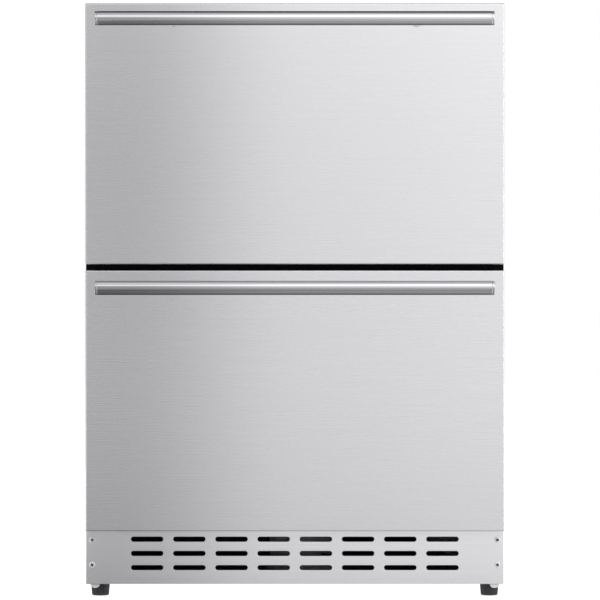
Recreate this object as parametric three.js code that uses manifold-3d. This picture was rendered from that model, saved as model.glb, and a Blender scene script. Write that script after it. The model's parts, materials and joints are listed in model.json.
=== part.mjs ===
// Undercounter refrigerator with two drawers, built piece by piece.
// Millimetres, +Z up. The front faces -Y, +X is to the right seen from the front,
// and the origin is on the floor under the middle of the object.

import * as THREE from 'three';
import { mergeVertices } from 'three/addons/utils/BufferGeometryUtils.js';
import Module from 'manifold-3d';

const wasm = await Module();
wasm.setup();

// ---------------------------------------------------------------- driving dimensions

const seat = 0.3; // gap between two pieces that touch
const through = 1; // how far a cutting tool runs past the face that it cuts
const sheet = 1.2; // painted and stainless sheet metal

const overallHeight = 850;
const cabinetWidth = 600;
const cabinetDepth = 550;
const cabinetTopZ = 846; // the drawer fronts stand 4 mm above it
const cabinetBend = 4;
const baseZ = 20; // underside of the cabinet, over the feet

const frontWidth = 596; // drawer front
const frontHeight = 371;
const frontThickness = 42;
const frontGap = 9; // between the two drawer fronts
const frontBend = 2;
const hemWidth = 5; // folded edge behind the front
const gasketSpace = 6; // drawer front to cabinet face

const handleRadius = 10;
const handleLength = 563;
const handleDrop = 25; // bar axis below the top of its drawer
const handleReach = 45; // bar axis in front of the drawer face
const handleWall = 1.5;
const handleCapDepth = 3;
const handlePostX = 173;
const handlePostRadius = 7;
const handleCollar = { radius: 9, depth: 3 };

const kickTopZ = 104;
const kickReturn = { top: 14, bottom: 5 }; // folded edges
const kickReturnX = 275;
const slot = { length: 46.5, height: 7, columns: 8, pitchX: 60.6, rowsZ: [43.5, 63.9, 84.4], arcSteps: 2 };

const foamSide = 42;
const linerWall = 2;
const linerCorner = 18;
const linerRearEdge = 12;
const linerFloorZ = 146; // lower compartment
const linerStepZ = 342; // floor behind the step
const linerCeilingZ = 800;
const linerStepY = 52; // back wall of the lower compartment
const linerBackY = 281; // back wall of the upper compartment
const mullionHeight = 42;
const mullionDepth = 30;
const mullionCorner = 2;
const railTopZ = 127.7;
const railDepth = 18;
const wrapperFlange = 24; // folded in at the front
const rearFlange = 12;
const linerFlangeZ = [railTopZ + seat, cabinetTopZ - wrapperFlange - seat];

const deckSheet = 1;
const deckFrontY = -220;
const deckStepY = 98; // front wall of the machine compartment
const deckTopZ = 298;

const panelThickness = 4.5; // inner panel of a drawer
const gasketX = 275; // its centre line, from the middle
const gasketHalf = 7;
const gasketShortInset = 2; // gasket edge to drawer edge beside the mullion
const gasketLongInset = 10; // the same beside the rail or the top
const dartHalf = 1.7; // rib that pushes into the inner panel's groove
const dartDepth = 2.7;
const dikeHeight = 15.5; // raised middle of the inner panel
const dikeClearance = 4;
const dikeCorner = 14;
const dikeEdge = 5;

const binWall = 2;
const binCorner = 14;
const binFloorEdge = 14;
const binLip = { width: 5, height: 4, frontInset: 24 };
const binSlot = { count: 5, pitch: 70, width: 8, height: 54, drop: 70 };
const slideDepth = 13.4; // liner wall to the face that carries the bin
const slideSheet = 1.2;
const slideMembers = {
  outer: { us: [seat, 10.6], halfHeight: 22.8, lip: 3.2, inset: 0 },
  middle: { us: [3.4, 11.6], halfHeight: 18.4, lip: 3, inset: 2 },
  inner: { us: [slideDepth, 6.6], halfHeight: 14.2, lip: 2.4, inset: 0 },
};

const footX = 282;
const footFrontY = -173.5;
const footRearY = 285;
const footRadius = { top: 13.75, bottom: 12.5 };
const footRibs = 12;
const footRibDepth = 0.7;
const studRadius = 5;
const studTopZ = 62;
const studHole = 5.6;
const nut = { radius: 10, height: 10 };

const panSheet = 1.5; // base pan and leg brackets
const panFrontY = -217;
const panRearY = 313;
const panFlange = 16;
const lugX = 287; // rounded tab that hangs in front of each front foot
const lugHalf = 6.5;
const lugBottomZ = 11.5;
const bracketPlate = { half: 14, frontY: -30, rearY: 26 }; // round the foot's axis

const machineCoverY = 316;
const louvre = { radius: 7, length: 190, columnsX: [-168, 62], rows: 6, firstZ: 92, pitch: 28 };
const inlet = {
  x: 246, z: 66, half: 21.6, halfHeight: 12.6, depth: 26, flange: 2, flangeEdge: 5.4, corner: 4,
};

const condenserFan = { x: -147.5, y: 171, z: 145, radius: 75, hub: 22, length: 18, blades: 5, bore: 3.6 };
const condenserMotor = {
  y: 199, radius: 32, length: 40, shaftRadius: 3, shaftLength: 18, armReach: 106, armWidth: 9,
  postLength: 26.5,
};
const condenserCoil = {
  y: 132.3, width: 206, height: 210, depth: 40, pitch: 16, finThickness: 1.8, bends: 4, bendRadius: 12,
  tubeRadius: 4, portX: 87.5,
};
const shroud = {
  half: 105, halfHeight: 107, wall: 2, corner: 8, bore: 79, frontY: 152.6, plateY: 172, ringY: 192,
};

const evaporatorFan = { x: 0, y: 220, z: 706, radius: 50, hub: 16, length: 16, blades: 5, bore: 2.6 };
const evaporatorMotor = {
  y: 240, radius: 19, length: 26, shaftRadius: 2, shaftLength: 12, armReach: 72, armWidth: 7,
  postLength: 28.7,
};
const evaporatorCoil = {
  y: 246, z: 440, width: 380, height: 190, depth: 46, pitch: 28, finThickness: 2, bends: 4,
  bendRadius: 13, tubeRadius: 4.5,
};
const cover = { half: 235, floorZ: 358, topZ: 780, frontY: 209, wall: 2, corner: 16, edge: 10 };
const coverSlot = { count: 7, pitch: 44, z: 410, width: 10, height: 60 };
const guard = { radius: 55, ringRadius: 33, hub: 12, half: 1.5, spokes: 5 };

const compressorAt = [135, 212, 0];
const suctionPort = { reach: 92, z: 146, radius: 4.8 };
const suctionRoute = [[250, 206, 164], [252, 190, 210], [252, 170, 250]];
const suctionEnd = [252, 168];
const dischargePort = { reach: 92, z: 158, radius: 3.2 };
const dischargeRoute = [[4, 202, 196], [-20, 168, 250], [-48, 135, 274]];
const dischargeTopZ = 262; // where the line turns down into the condenser
const portStub = 10; // straight length of a line at its port
const drainTray = { xs: [-256, -40], ys: [204, 300], topZ: 54, wall: 2, corner: 14, floorEdge: 6 };
const controls = { half: 112, frontY: -192, rearY: -92, bottomZ: 774, bevel: 8 };
const lampBar = { half: 80, ys: [-72, -48], bottomZ: 788, corner: 8, edge: 4 };

// ---------------------------------------------------------------- places worked out from them

const depthInFront = handleReach + handleRadius + frontThickness + gasketSpace;
const rearY = (depthInFront + cabinetDepth) / 2;
const faceY = handleReach + handleRadius - rearY; // drawer face
const frontRearY = faceY + frontThickness;
const sealY = frontRearY + gasketSpace; // cabinet face
const sideX = cabinetWidth / 2;
const innerSideX = sideX - sheet - seat; // what lies against the inside of the wrapper
const frontX = frontWidth / 2;
const linerX = innerSideX - foamSide - seat - linerWall; // inside face of the liner
const binX = linerX - slideDepth - seat;
const wrapperOpeningX = sideX - wrapperFlange;
const kickSheetY = sealY + sheet; // back of the kick plate
const deckZ = kickTopZ + seat;
const foamFloorZ = deckZ + deckSheet + seat;
const backPanelY = rearY - 2 * sheet - seat;
const panTopZ = baseZ + panSheet;

const upperFrontZ = [overallHeight - frontHeight, overallHeight];
const lowerFrontZ = [upperFrontZ[0] - frontGap - frontHeight, upperFrontZ[0] - frontGap];
const mullionMidZ = (upperFrontZ[0] + lowerFrontZ[1]) / 2;
const mullionZ = [mullionMidZ - mullionHeight / 2, mullionMidZ + mullionHeight / 2];
const mullionFaceZ = [mullionZ[0] + mullionCorner, mullionZ[1] - mullionCorner];
const dikeRearY = frontRearY + dikeHeight;
const slideFrontY = dikeRearY + 2;

const upper = {
  name: 'upper',
  frontZ: upperFrontZ,
  gasketZ: [upperFrontZ[0] + gasketShortInset, upperFrontZ[1] - gasketLongInset],
  openingZ: [mullionZ[1], linerCeilingZ],
  binZ: [502, 725],
  binRearY: 200,
  slideZ: 680,
  slideLength: 408,
};
const lower = {
  name: 'lower',
  frontZ: lowerFrontZ,
  gasketZ: [lowerFrontZ[0] + gasketLongInset, lowerFrontZ[1] - gasketShortInset],
  openingZ: [linerFloorZ, mullionZ[0]],
  binZ: [152, 410],
  binRearY: 40,
  slideZ: 366,
  slideLength: 250,
};

// ---------------------------------------------------------------- materials

function finish(color, roughness, metalness) {
  return new THREE.MeshStandardMaterial({ color, roughness, metalness });
}
const stainless = finish(0xc9c9cc, 0.32, 1);
const polished = finish(0xd2d2d4, 0.2, 1);
const blackPaint = finish(0x15161a, 0.55, 0);
const zinc = finish(0xb9bcc0, 0.4, 0.9);
const whitePlastic = finish(0xeceef0, 0.4, 0);
const blackPlastic = finish(0x18181a, 0.6, 0);
const blackRubber = finish(0x101012, 0.8, 0);
const foam = finish(0xe9d9a6, 0.95, 0);
const aluminium = finish(0xc4c8cc, 0.4, 0.9);
const copper = finish(0xb4683c, 0.35, 0.9);
const lens = finish(0xf4f6f8, 0.2, 0);

// ---------------------------------------------------------------- solids

const mergeDistance = 1e-4;
const tightestCorner = 0.3;
const overlap = 1; // how far two shapes run into each other before they are joined

// Six times the volume inside the triangles; negative where the faces point in.
function signedVolume(positions, triangles) {
  const corner = (k) => new THREE.Vector3().fromArray(positions, 3 * triangles[k]);
  let sum = 0;
  for (let i = 0; i < triangles.length; i += 3) {
    sum += corner(i).dot(corner(i + 1).cross(corner(i + 2)));
  }
  return sum;
}

// A closed geometry as a solid, for joining and cutting. A mirrored or reversed outline
// gives faces that point in, which are turned over here.
function toSolid(shape) {
  if (!shape.isBufferGeometry) return shape;
  const bare = shape.clone();
  bare.deleteAttribute('normal');
  bare.deleteAttribute('uv');
  const merged = mergeVertices(bare, mergeDistance);
  const corners = merged.index.array;
  const positions = merged.attributes.position.array;
  const kept = [];
  for (let i = 0; i < corners.length; i += 3) {
    const [a, b, c] = corners.slice(i, i + 3);
    if (a !== b && b !== c && c !== a) kept.push(a, b, c);
  }
  if (signedVolume(positions, kept) < 0) kept.reverse();
  return new wasm.Manifold(new wasm.Mesh({
    numProp: 3,
    vertProperties: Float32Array.from(positions),
    triVerts: Uint32Array.from(kept),
  }));
}

function join(...shapes) {
  return shapes.map(toSolid).reduce((whole, shape) => whole.add(shape));
}

function cut(...shapes) {
  return shapes.map(toSolid).reduce((rest, tool) => rest.subtract(tool));
}

// A named mesh of one solid.
function piece(name, shape, material, position = [0, 0, 0]) {
  const { vertProperties, triVerts } = toSolid(shape).getMesh();
  const geometry = new THREE.BufferGeometry();
  geometry.setAttribute('position', new THREE.BufferAttribute(vertProperties, 3));
  geometry.setIndex(new THREE.BufferAttribute(triVerts, 1));
  geometry.computeVertexNormals();
  const mesh = new THREE.Mesh(geometry, material);
  mesh.name = name;
  mesh.position.set(...position);
  return mesh;
}

function group(position, ...children) {
  const assembly = new THREE.Group();
  assembly.position.set(...position);
  assembly.add(...children);
  return assembly;
}

function symmetric(half) {
  return [-half, half];
}

function block([x0, x1], [y0, y1], [z0, z1]) {
  const geometry = new THREE.BoxGeometry(x1 - x0, y1 - y0, z1 - z0);
  return geometry.translate((x0 + x1) / 2, (y0 + y1) / 2, (z0 + z1) / 2);
}

// An outline lies in the plane across its axis: (y, z) for x, (x, z) for y, (x, y) for z.
const placeAcross = {
  x: ([u, v], along) => [along, u, v],
  y: ([u, v], along) => [u, along, v],
  z: ([u, v], along) => [u, v, along],
};
const outlineBasis = {
  x: new THREE.Matrix4().set(0, 0, 1, 0, 1, 0, 0, 0, 0, 1, 0, 0, 0, 0, 0, 1),
  y: new THREE.Matrix4().set(1, 0, 0, 0, 0, 0, 1, 0, 0, 1, 0, 0, 0, 0, 0, 1),
  z: new THREE.Matrix4(),
};

// Each arc of the shape is drawn with twice as many steps as curveSegments.
function extrude(axis, shape, [from, to], curveSegments = 3) {
  const options = { depth: to - from, bevelEnabled: false, curveSegments };
  const geometry = new THREE.ExtrudeGeometry(shape, options);
  return geometry.translate(0, 0, from).applyMatrix4(outlineBasis[axis]);
}

function polygon(points) {
  return new THREE.Shape(points.map(([u, v]) => new THREE.Vector2(u, v)));
}

// A round bar; at gives its place across the axis.
function rod(axis, radius, span, [u, v] = [0, 0], sides = 24) {
  const circle = new THREE.Shape().absarc(u, v, radius, 0, 2 * Math.PI);
  return extrude(axis, circle, span, sides / 2);
}

// A path with round ends, longer along the outline's first direction.
function obround(path, [u, v], length, height) {
  const reach = (length - height) / 2;
  path.absarc(u + reach, v, height / 2, -Math.PI / 2, Math.PI / 2);
  path.absarc(u - reach, v, height / 2, Math.PI / 2, 1.5 * Math.PI);
  return path;
}

function uprightObround([u, v], width, height) {
  const shape = new THREE.Shape();
  const reach = (height - width) / 2;
  shape.absarc(u, v + reach, width / 2, 0, Math.PI);
  shape.absarc(u, v - reach, width / 2, Math.PI, 2 * Math.PI);
  return shape;
}

// A profile of [radius, height] points that starts and ends on the axis, turned round it.
function turned(axis, profile, sides = 24) {
  const points = profile.map(([radius, height]) => new THREE.Vector2(radius, height));
  const geometry = new THREE.LatheGeometry(points, sides);
  if (axis === 'z') geometry.rotateX(Math.PI / 2);
  if (axis === 'x') geometry.rotateZ(-Math.PI / 2);
  return geometry;
}

// A skin over rings that all have the same count of points. Its ends are closed by the
// triangles in cap, or its last ring meets its first one.
function skin(rings, cap = null) {
  const count = rings[0].length;
  const triangles = [];
  const bands = cap ? rings.length - 1 : rings.length;
  for (let band = 0; band < bands; band += 1) {
    const [near, far] = [band * count, (band + 1) % rings.length * count];
    for (let i = 0; i < count; i += 1) {
      const j = (i + 1) % count;
      triangles.push(near + i, near + j, far + j, near + i, far + j, far + i);
    }
  }
  const last = (rings.length - 1) * count;
  for (const [a, b, c] of cap ?? []) triangles.push(c, b, a, last + a, last + b, last + c);
  const geometry = new THREE.BufferGeometry();
  geometry.setAttribute('position', new THREE.Float32BufferAttribute(rings.flat(2), 3));
  geometry.setIndex(triangles);
  return geometry;
}

// A solid through [along, outline] stations; the outlines have the same count of points.
function loft(axis, stations) {
  const outline = stations[0][1].map(([u, v]) => new THREE.Vector2(u, v));
  const rings = stations.map(([along, points]) => points.map((p) => placeAcross[axis](p, along)));
  const cap = THREE.ShapeUtils.triangulateShape(outline, []);
  return skin(rings, cap);
}

// A profile of [outward, y] points carried round a rectangle with mitred corners.
function mitredFrame(profile, [x0, x1], [z0, z1]) {
  const corners = [[x0, z0, -1, -1], [x1, z0, 1, -1], [x1, z1, 1, 1], [x0, z1, -1, 1]];
  return skin(corners.map(([x, z, outX, outZ]) => (
    profile.map(([out, y]) => [x + out * outX, y, z + out * outZ])
  )));
}

// A rectangle whose corners are arcs, as [u, v] points, counter-clockwise.
function roundedRectangle([u0, u1], [v0, v1], radius, steps) {
  const corners = [
    [u1 - radius, v1 - radius], [u0 + radius, v1 - radius],
    [u0 + radius, v0 + radius], [u1 - radius, v0 + radius],
  ];
  return corners.flatMap(([u, v], quarter) => Array.from({ length: steps + 1 }, (_, i) => {
    const angle = (quarter + i / steps) * Math.PI / 2;
    return [u + radius * Math.cos(angle), v + radius * Math.sin(angle)];
  }));
}

// A moulded block: its corners are rounded across the axis, and its edges where it starts and ends.
function mouldedBlock(axis, us, vs, [from, to], corner, { start = 0, end = 0, steps = 3 } = {}) {
  const edge = (radius) => Array.from({ length: radius > 0 ? steps + 1 : 1 }, (_, i) => {
    const angle = i / steps * Math.PI / 2;
    return { depth: radius * (1 - Math.sin(angle)), inset: radius * (1 - Math.cos(angle)) };
  });
  const stations = [
    ...edge(start).reverse().map(({ depth, inset }) => [from + depth, inset]),
    ...edge(end).map(({ depth, inset }) => [to - depth, inset]),
  ];
  return loft(axis, stations.map(([along, inset]) => [along, roundedRectangle(
    [us[0] + inset, us[1] - inset],
    [vs[0] + inset, vs[1] - inset],
    Math.max(corner - inset, tightestCorner),
    steps,
  )]));
}

// A bent tube along a smooth curve through points.
function tube(points, radius, steps, sides = 6) {
  const curve = new THREE.CatmullRomCurve3(points.map((point) => new THREE.Vector3(...point)));
  const circle = new THREE.Shape().absarc(0, 0, radius, 0, 2 * Math.PI);
  return new THREE.ExtrudeGeometry(circle, { extrudePath: curve, steps, curveSegments: sides / 2 });
}

// ---------------------------------------------------------------- cabinet

// An upright outline with a square foot and rounded shoulders.
function shoulderedOutline(half, [z0, z1], radius) {
  const shape = new THREE.Shape();
  shape.moveTo(-half, z0);
  shape.lineTo(half, z0);
  shape.absarc(half - radius, z1 - radius, radius, 0, Math.PI / 2);
  shape.absarc(-half + radius, z1 - radius, radius, Math.PI / 2, Math.PI);
  return shape;
}

// Sides and top in one folded sheet, with narrow flanges at the front and the back. Behind
// the kick plate the front flange steps back by the plate's thickness.
function outerWrapper() {
  const topInside = cabinetTopZ - sheet;
  const stepY = kickSheetY + seat;
  const lowSpan = [baseZ - through, deckZ];
  const outside = shoulderedOutline(sideX, [baseZ, cabinetTopZ], cabinetBend);
  const inside = shoulderedOutline(sideX - sheet, [deckZ, topInside], cabinetBend - sheet);
  const behindKick = [baseZ - through, deckZ + through];
  return cut(
    extrude('y', outside, [sealY, rearY]),
    extrude('y', inside, [sealY + sheet, rearY - sheet]),
    block(symmetric(sideX - sheet), [stepY + sheet, rearY - sheet], behindKick),
    block(symmetric(wrapperOpeningX), [sealY - through, stepY + sheet + through],
      [baseZ - through, cabinetTopZ - wrapperFlange]),
    block(symmetric(sideX - rearFlange), [rearY - sheet - through, rearY + through],
      [baseZ - through, cabinetTopZ - rearFlange]),
    block(symmetric(sideX + through), [sealY - through, stepY], lowSpan),
  );
}

// Flat sheet with a raised bead round it that stiffens it.
function backPanel() {
  const floor = deckTopZ + seat;
  const top = cabinetTopZ - sheet - seat;
  const outline = shoulderedOutline(innerSideX, [floor, top], cabinetBend - sheet - seat);
  const bead = { inset: 60, half: 6, crest: 4 };
  const middle = backPanelY + sheet / 2;
  const crest = backPanelY + 2 * sheet;
  const profile = [[-bead.half, middle], [bead.half, middle], [bead.crest, crest], [-bead.crest, crest]];
  return join(
    extrude('y', outline, [backPanelY, backPanelY + sheet]),
    mitredFrame(profile, symmetric(innerSideX - bead.inset), [floor + bead.inset, top - bead.inset]),
  );
}

// The form of the liner's two compartments; grow is measured outwards from its inside faces.
// The low one reaches up to the middle of the deep one, well inside it.
function linerForm(grow, frontY) {
  const options = { end: linerRearEdge + grow };
  const xs = symmetric(linerX + grow);
  const corner = linerCorner + grow;
  const lowZ = [linerFloorZ - grow, (linerStepZ + linerCeilingZ) / 2];
  const deepZ = [linerStepZ - grow, linerCeilingZ + grow];
  return join(
    mouldedBlock('y', xs, lowZ, [frontY, linerStepY + grow], corner, options),
    mouldedBlock('y', xs, deepZ, [frontY, linerBackY + grow], corner, options),
  );
}

// One moulded shell: a low compartment in front of the step, a deeper one above it. Its front
// flange is notched where the mullion's face crosses it.
function innerLiner() {
  return cut(
    join(
      linerForm(linerWall, sealY),
      block(symmetric(wrapperOpeningX - seat), [sealY, sealY + linerWall], linerFlangeZ),
    ),
    linerForm(0, sealY - through),
    block(symmetric(wrapperOpeningX), [sealY - through, sealY + linerWall + seat],
      [mullionFaceZ[0] - seat, mullionFaceZ[1] + seat]),
  );
}

function cabinetInsulation() {
  const top = cabinetTopZ - sheet - seat;
  const radius = cabinetBend - sheet - seat;
  const outline = shoulderedOutline(innerSideX, [foamFloorZ, top], radius);
  const frontY = sealY + linerWall + seat;
  return cut(
    extrude('y', outline, [frontY, backPanelY - seat]),
    linerForm(linerWall + seat, frontY - through),
    block(symmetric(sideX), [deckStepY - deckSheet - seat, rearY], [baseZ, deckTopZ + seat]),
    block(symmetric(wrapperOpeningX), [frontY - through, sealY + railDepth + seat],
      [baseZ, railTopZ + seat]),
  );
}

// Stepped sheet under the insulation: the roof and the front wall of the machine compartment.
function machineDeck() {
  const rear = backPanelY - seat;
  const profile = [
    [deckFrontY, deckZ], [deckStepY, deckZ], [deckStepY, deckTopZ - deckSheet],
    [rear, deckTopZ - deckSheet], [rear, deckTopZ],
    [deckStepY - deckSheet, deckTopZ], [deckStepY - deckSheet, deckZ + deckSheet],
    [deckFrontY, deckZ + deckSheet],
  ];
  return extrude('x', polygon(profile), symmetric(innerSideX));
}

function bottomRail() {
  const rear = sealY + railDepth;
  const profile = [
    [sealY, foamFloorZ], [rear, foamFloorZ], [rear, foamFloorZ + sheet],
    [sealY + sheet, foamFloorZ + sheet], [sealY + sheet, railTopZ - sheet],
    [rear, railTopZ - sheet], [rear, railTopZ], [sealY, railTopZ],
  ];
  return extrude('x', polygon(profile), symmetric(wrapperOpeningX - seat));
}

// Bar between the two openings; its face reaches out to the cabinet's side flanges.
function mullion() {
  const ys = [sealY, sealY + mullionDepth];
  return join(
    mouldedBlock('x', ys, mullionZ, symmetric(linerX - seat), mullionCorner),
    block(symmetric(wrapperOpeningX - seat), [sealY, sealY + linerWall], mullionFaceZ),
  );
}

// Folded sheet with rows of ventilation slots.
function kickPlate() {
  const face = polygon([[-sideX, baseZ], [sideX, baseZ], [sideX, kickTopZ], [-sideX, kickTopZ]]);
  for (let column = 0; column < slot.columns; column += 1) {
    const x = (column - (slot.columns - 1) / 2) * slot.pitchX;
    for (const z of slot.rowsZ) {
      face.holes.push(obround(new THREE.Path(), [x, z], slot.length, slot.height));
    }
  }
  return join(
    extrude('y', face, [sealY, kickSheetY], slot.arcSteps),
    block(symmetric(kickReturnX), [sealY, sealY + kickReturn.top], [kickTopZ - sheet, kickTopZ]),
    block(symmetric(kickReturnX), [sealY, sealY + kickReturn.bottom], [baseZ, baseZ + sheet]),
  );
}

// Tray that carries the compressor; a nut for each rear foot is welded into it.
function basePan() {
  const half = innerSideX;
  const flangeTop = baseZ + panFlange;
  const rearFlangeX = half - 10; // clear of the side flanges
  const profile = [
    [-half, baseZ], [half, baseZ], [half, flangeTop], [half - panSheet, flangeTop],
    [half - panSheet, panTopZ], [panSheet - half, panTopZ], [panSheet - half, flangeTop],
    [-half, flangeTop],
  ];
  const feet = [symmetric(footX), [footFrontY, footRearY]];
  const holes = feet[0].flatMap((x) => feet[1].map((y) => (
    rod('z', studHole, [baseZ - through, panTopZ + nut.height + through], [x, y], 12)
  )));
  return cut(
    join(
      extrude('y', polygon(profile), [panFrontY, panRearY]),
      block(symmetric(rearFlangeX), [panRearY - panSheet, panRearY], [baseZ, flangeTop]),
      ...feet[0].map((x) => rod('z', nut.radius, [baseZ, panTopZ + nut.height], [x, footRearY], 6)),
    ),
    ...holes,
  );
}

// Plated bracket on the base pan: a welded nut for the front foot, and a rounded lug that
// hangs down in front of it. Modelled round the foot's axis; outward is +1 or -1 along X.
function legBracket(outward) {
  const { half, frontY, rearY: backY } = bracketPlate;
  const plateZ = [panTopZ + seat, panTopZ + seat + panSheet];
  const lugY = kickSheetY + 2 * seat + sheet - footFrontY;
  const lugMid = (lugX - footX) * outward;
  const neck = lugHalf - overlap;
  const tab = new THREE.Shape();
  tab.moveTo(lugMid + lugHalf, plateZ[1] + overlap);
  tab.lineTo(lugMid - lugHalf, plateZ[1] + overlap);
  tab.absarc(lugMid, lugBottomZ + lugHalf, lugHalf, Math.PI, 2 * Math.PI);
  return cut(
    join(
      block(symmetric(half), [frontY, backY], plateZ),
      block([lugMid - neck, lugMid + neck], [lugY + overlap / 2, frontY + overlap], plateZ),
      extrude('y', tab, [lugY, lugY + panSheet]),
      rod('z', nut.radius, [plateZ[0], plateZ[1] + nut.height], [0, 0], 6),
    ),
    rod('z', studHole, [baseZ, plateZ[1] + nut.height + through], [0, 0], 12),
  );
}

// Ribbed glide on a threaded stud, standing on the floor.
function levellingFoot() {
  const top = baseZ - seat;
  const chamfer = 1.2;
  const ribbed = (radius) => Array.from({ length: 2 * footRibs }, (_, i) => {
    const angle = i / footRibs * Math.PI;
    const r = radius - (i % 2) * footRibDepth;
    return [r * Math.cos(angle), r * Math.sin(angle)];
  });
  const stations = [
    [0, ribbed(footRadius.bottom - chamfer)],
    [chamfer, ribbed(footRadius.bottom)],
    [top, ribbed(footRadius.top)],
  ];
  return join(loft('z', stations), rod('z', studRadius, [top - overlap, studTopZ], [0, 0], 10));
}

// A louvre's section, from the middle of the cover's sheet to its quarter round behind it.
function louvreSection(z, radius) {
  const shape = new THREE.Shape();
  shape.moveTo(machineCoverY + sheet / 2, z);
  shape.absarc(machineCoverY + sheet, z, radius, 0, Math.PI / 2);
  shape.lineTo(machineCoverY + sheet / 2, z + radius);
  return shape;
}

// Sheet with hooded louvres pressed out of it, and a cut-out for the power inlet.
function machineCover() {
  const rear = machineCoverY + sheet;
  const coverZ = [panTopZ + seat, deckTopZ - deckSheet - seat];
  const half = louvre.length / 2;
  const inner = louvre.radius - sheet;
  const hoods = [];
  const hollows = [];
  for (const x of louvre.columnsX) {
    for (let row = 0; row < louvre.rows; row += 1) {
      const z = louvre.firstZ + row * louvre.pitch;
      const mouth = [x - half + sheet, x + half - sheet];
      hoods.push(extrude('x', louvreSection(z, louvre.radius), [x - half, x + half], 2));
      hollows.push(extrude('x', louvreSection(z - seat, inner), mouth, 1));
      hollows.push(block(mouth, [machineCoverY - through, rear], [z, z + inner - seat]));
    }
  }
  const inletCut = block(
    [inlet.x - inlet.half - seat, inlet.x + inlet.half + seat],
    [machineCoverY - through, rear + through],
    [inlet.z - inlet.halfHeight - seat, inlet.z + inlet.halfHeight + seat],
  );
  const flat = block(symmetric(innerSideX), [machineCoverY, rear], coverZ);
  return cut(join(flat, ...hoods), ...hollows, inletCut);
}

// Panel socket through the cover, its flange behind it, with three pins in its recess.
function powerInlet() {
  const rear = machineCoverY + sheet + seat;
  const { half, halfHeight, depth, flange, flangeEdge, corner } = inlet;
  const recess = { half: 13, halfHeight: 9, depth: 18, corner: 3 };
  const pin = { half: 1, halfHeight: 3, length: 14 };
  const pinPlaces = [[-7, -2], [0, 3], [7, -2]];
  const body = join(
    mouldedBlock('y', symmetric(half + flangeEdge), symmetric(halfHeight + flangeEdge / 2),
      [rear, rear + flange], corner),
    mouldedBlock('y', symmetric(half), symmetric(halfHeight), [rear - depth, rear + overlap], corner),
  );
  const hollow = mouldedBlock('y', symmetric(recess.half), symmetric(recess.halfHeight),
    [rear - recess.depth, rear + flange + through], recess.corner);
  const pinY = [rear - recess.depth - overlap, rear - recess.depth + pin.length];
  const pins = pinPlaces.map(([x, z]) => (
    block([x - pin.half, x + pin.half], pinY, [z - pin.halfHeight, z + pin.halfHeight])
  ));
  return join(cut(body, hollow), ...pins);
}

// ---------------------------------------------------------------- cooling

// Finned block with the return bends of its serpentine tube at both ends.
function heatExchanger({ width, height, depth, pitch, finThickness, bends, bendRadius, tubeRadius }) {
  const half = width / 2;
  const core = tubeRadius; // half the depth of the block between the fins
  const count = Math.floor(width / pitch);
  const edge = [];
  for (let i = 0; i <= count; i += 1) {
    const x = -half + i * width / count;
    const near = Math.max(x - finThickness / 2, -half);
    const far = Math.min(x + finThickness / 2, half);
    edge.push([near, core], [near, depth / 2], [far, depth / 2], [far, core]);
  }
  const rearEdge = edge.slice(1, -1);
  const outline = [...rearEdge, ...rearEdge.map(([x, y]) => [x, -y]).reverse()];
  const step = height / (bends + 1);
  const tubes = Array.from({ length: bends }, (_, i) => {
    const side = i % 2 ? -1 : 1;
    const z = step * (i + 1);
    const points = [-1, -0.7, 0, 0.7, 1].map((t) => {
      const reach = bendRadius * Math.sqrt(1 - t * t);
      return [side * (half - finThickness + reach), 0, z + t * step / 2];
    });
    return tube(points, tubeRadius, 3);
  });
  return join(extrude('z', polygon(outline), [0, height]), ...tubes);
}

// One blade, lofted along its radius: its pitch falls and its chord grows towards the tip, and
// its leading edge sweeps forward.
function fanBlade({ radius, hub, length }) {
  const pitchAtHub = THREE.MathUtils.degToRad(42);
  const pitchAtTip = THREE.MathUtils.degToRad(22);
  const chordPart = { hub: 0.8, growth: 0.1 }; // of the longest chord that the hub has room for
  const sweepPart = 0.14;
  const camberPart = 0.09;
  const thickness = { middle: 1, edge: 0.5 }; // each half of the blade
  const stationCount = 3;
  const root = hub - 2;
  const tip = radius + 3; // cut back to the radius by the fan
  const stations = Array.from({ length: stationCount }, (_, i) => {
    const t = i / (stationCount - 1);
    const pitch = THREE.MathUtils.lerp(pitchAtHub, pitchAtTip, t);
    const chord = length / Math.sin(pitch) * (chordPart.hub + chordPart.growth * t);
    const place = (s, side) => {
      const half = Math.abs(s) === 0.5 ? thickness.edge : thickness.middle;
      const lift = camberPart * chord * (1 - 4 * s * s) + side * half;
      return [
        s * chord * Math.sin(pitch) + lift * Math.cos(pitch),
        s * chord * Math.cos(pitch) - lift * Math.sin(pitch) + sweepPart * radius * t * t,
      ];
    };
    const chordwise = [-0.5, -0.2, 0.15, 0.5];
    const front = chordwise.map((s) => place(s, 1));
    const back = chordwise.map((s) => place(s, -1)).reverse();
    return [THREE.MathUtils.lerp(root, tip, t), [...front, ...back]];
  });
  return loft('x', stations);
}

// Axial fan: blades round a hub, turning about Y, with a blind bore for the motor's shaft.
function fan({ radius, hub, length, blades, bore }) {
  const half = length / 2;
  const chamfer = { radial: 4, axial: 3 };
  const hubProfile = [
    [0, -half], [hub - chamfer.radial, -half], [hub, chamfer.axial - half], [hub, half], [0, half],
  ];
  const blade = fanBlade({ radius, hub, length });
  const turns = Array.from({ length: blades }, (_, i) => (
    blade.clone().rotateY(i / blades * 2 * Math.PI)
  ));
  const sweptRing = toSolid(rod('y', radius, symmetric(length), [0, 0], 20));
  return cut(
    join(turned('y', hubProfile, 16), join(...turns).intersect(sweptRing)),
    rod('y', bore, [chamfer.axial - half, half + through], [0, 0], 8),
  );
}

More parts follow.
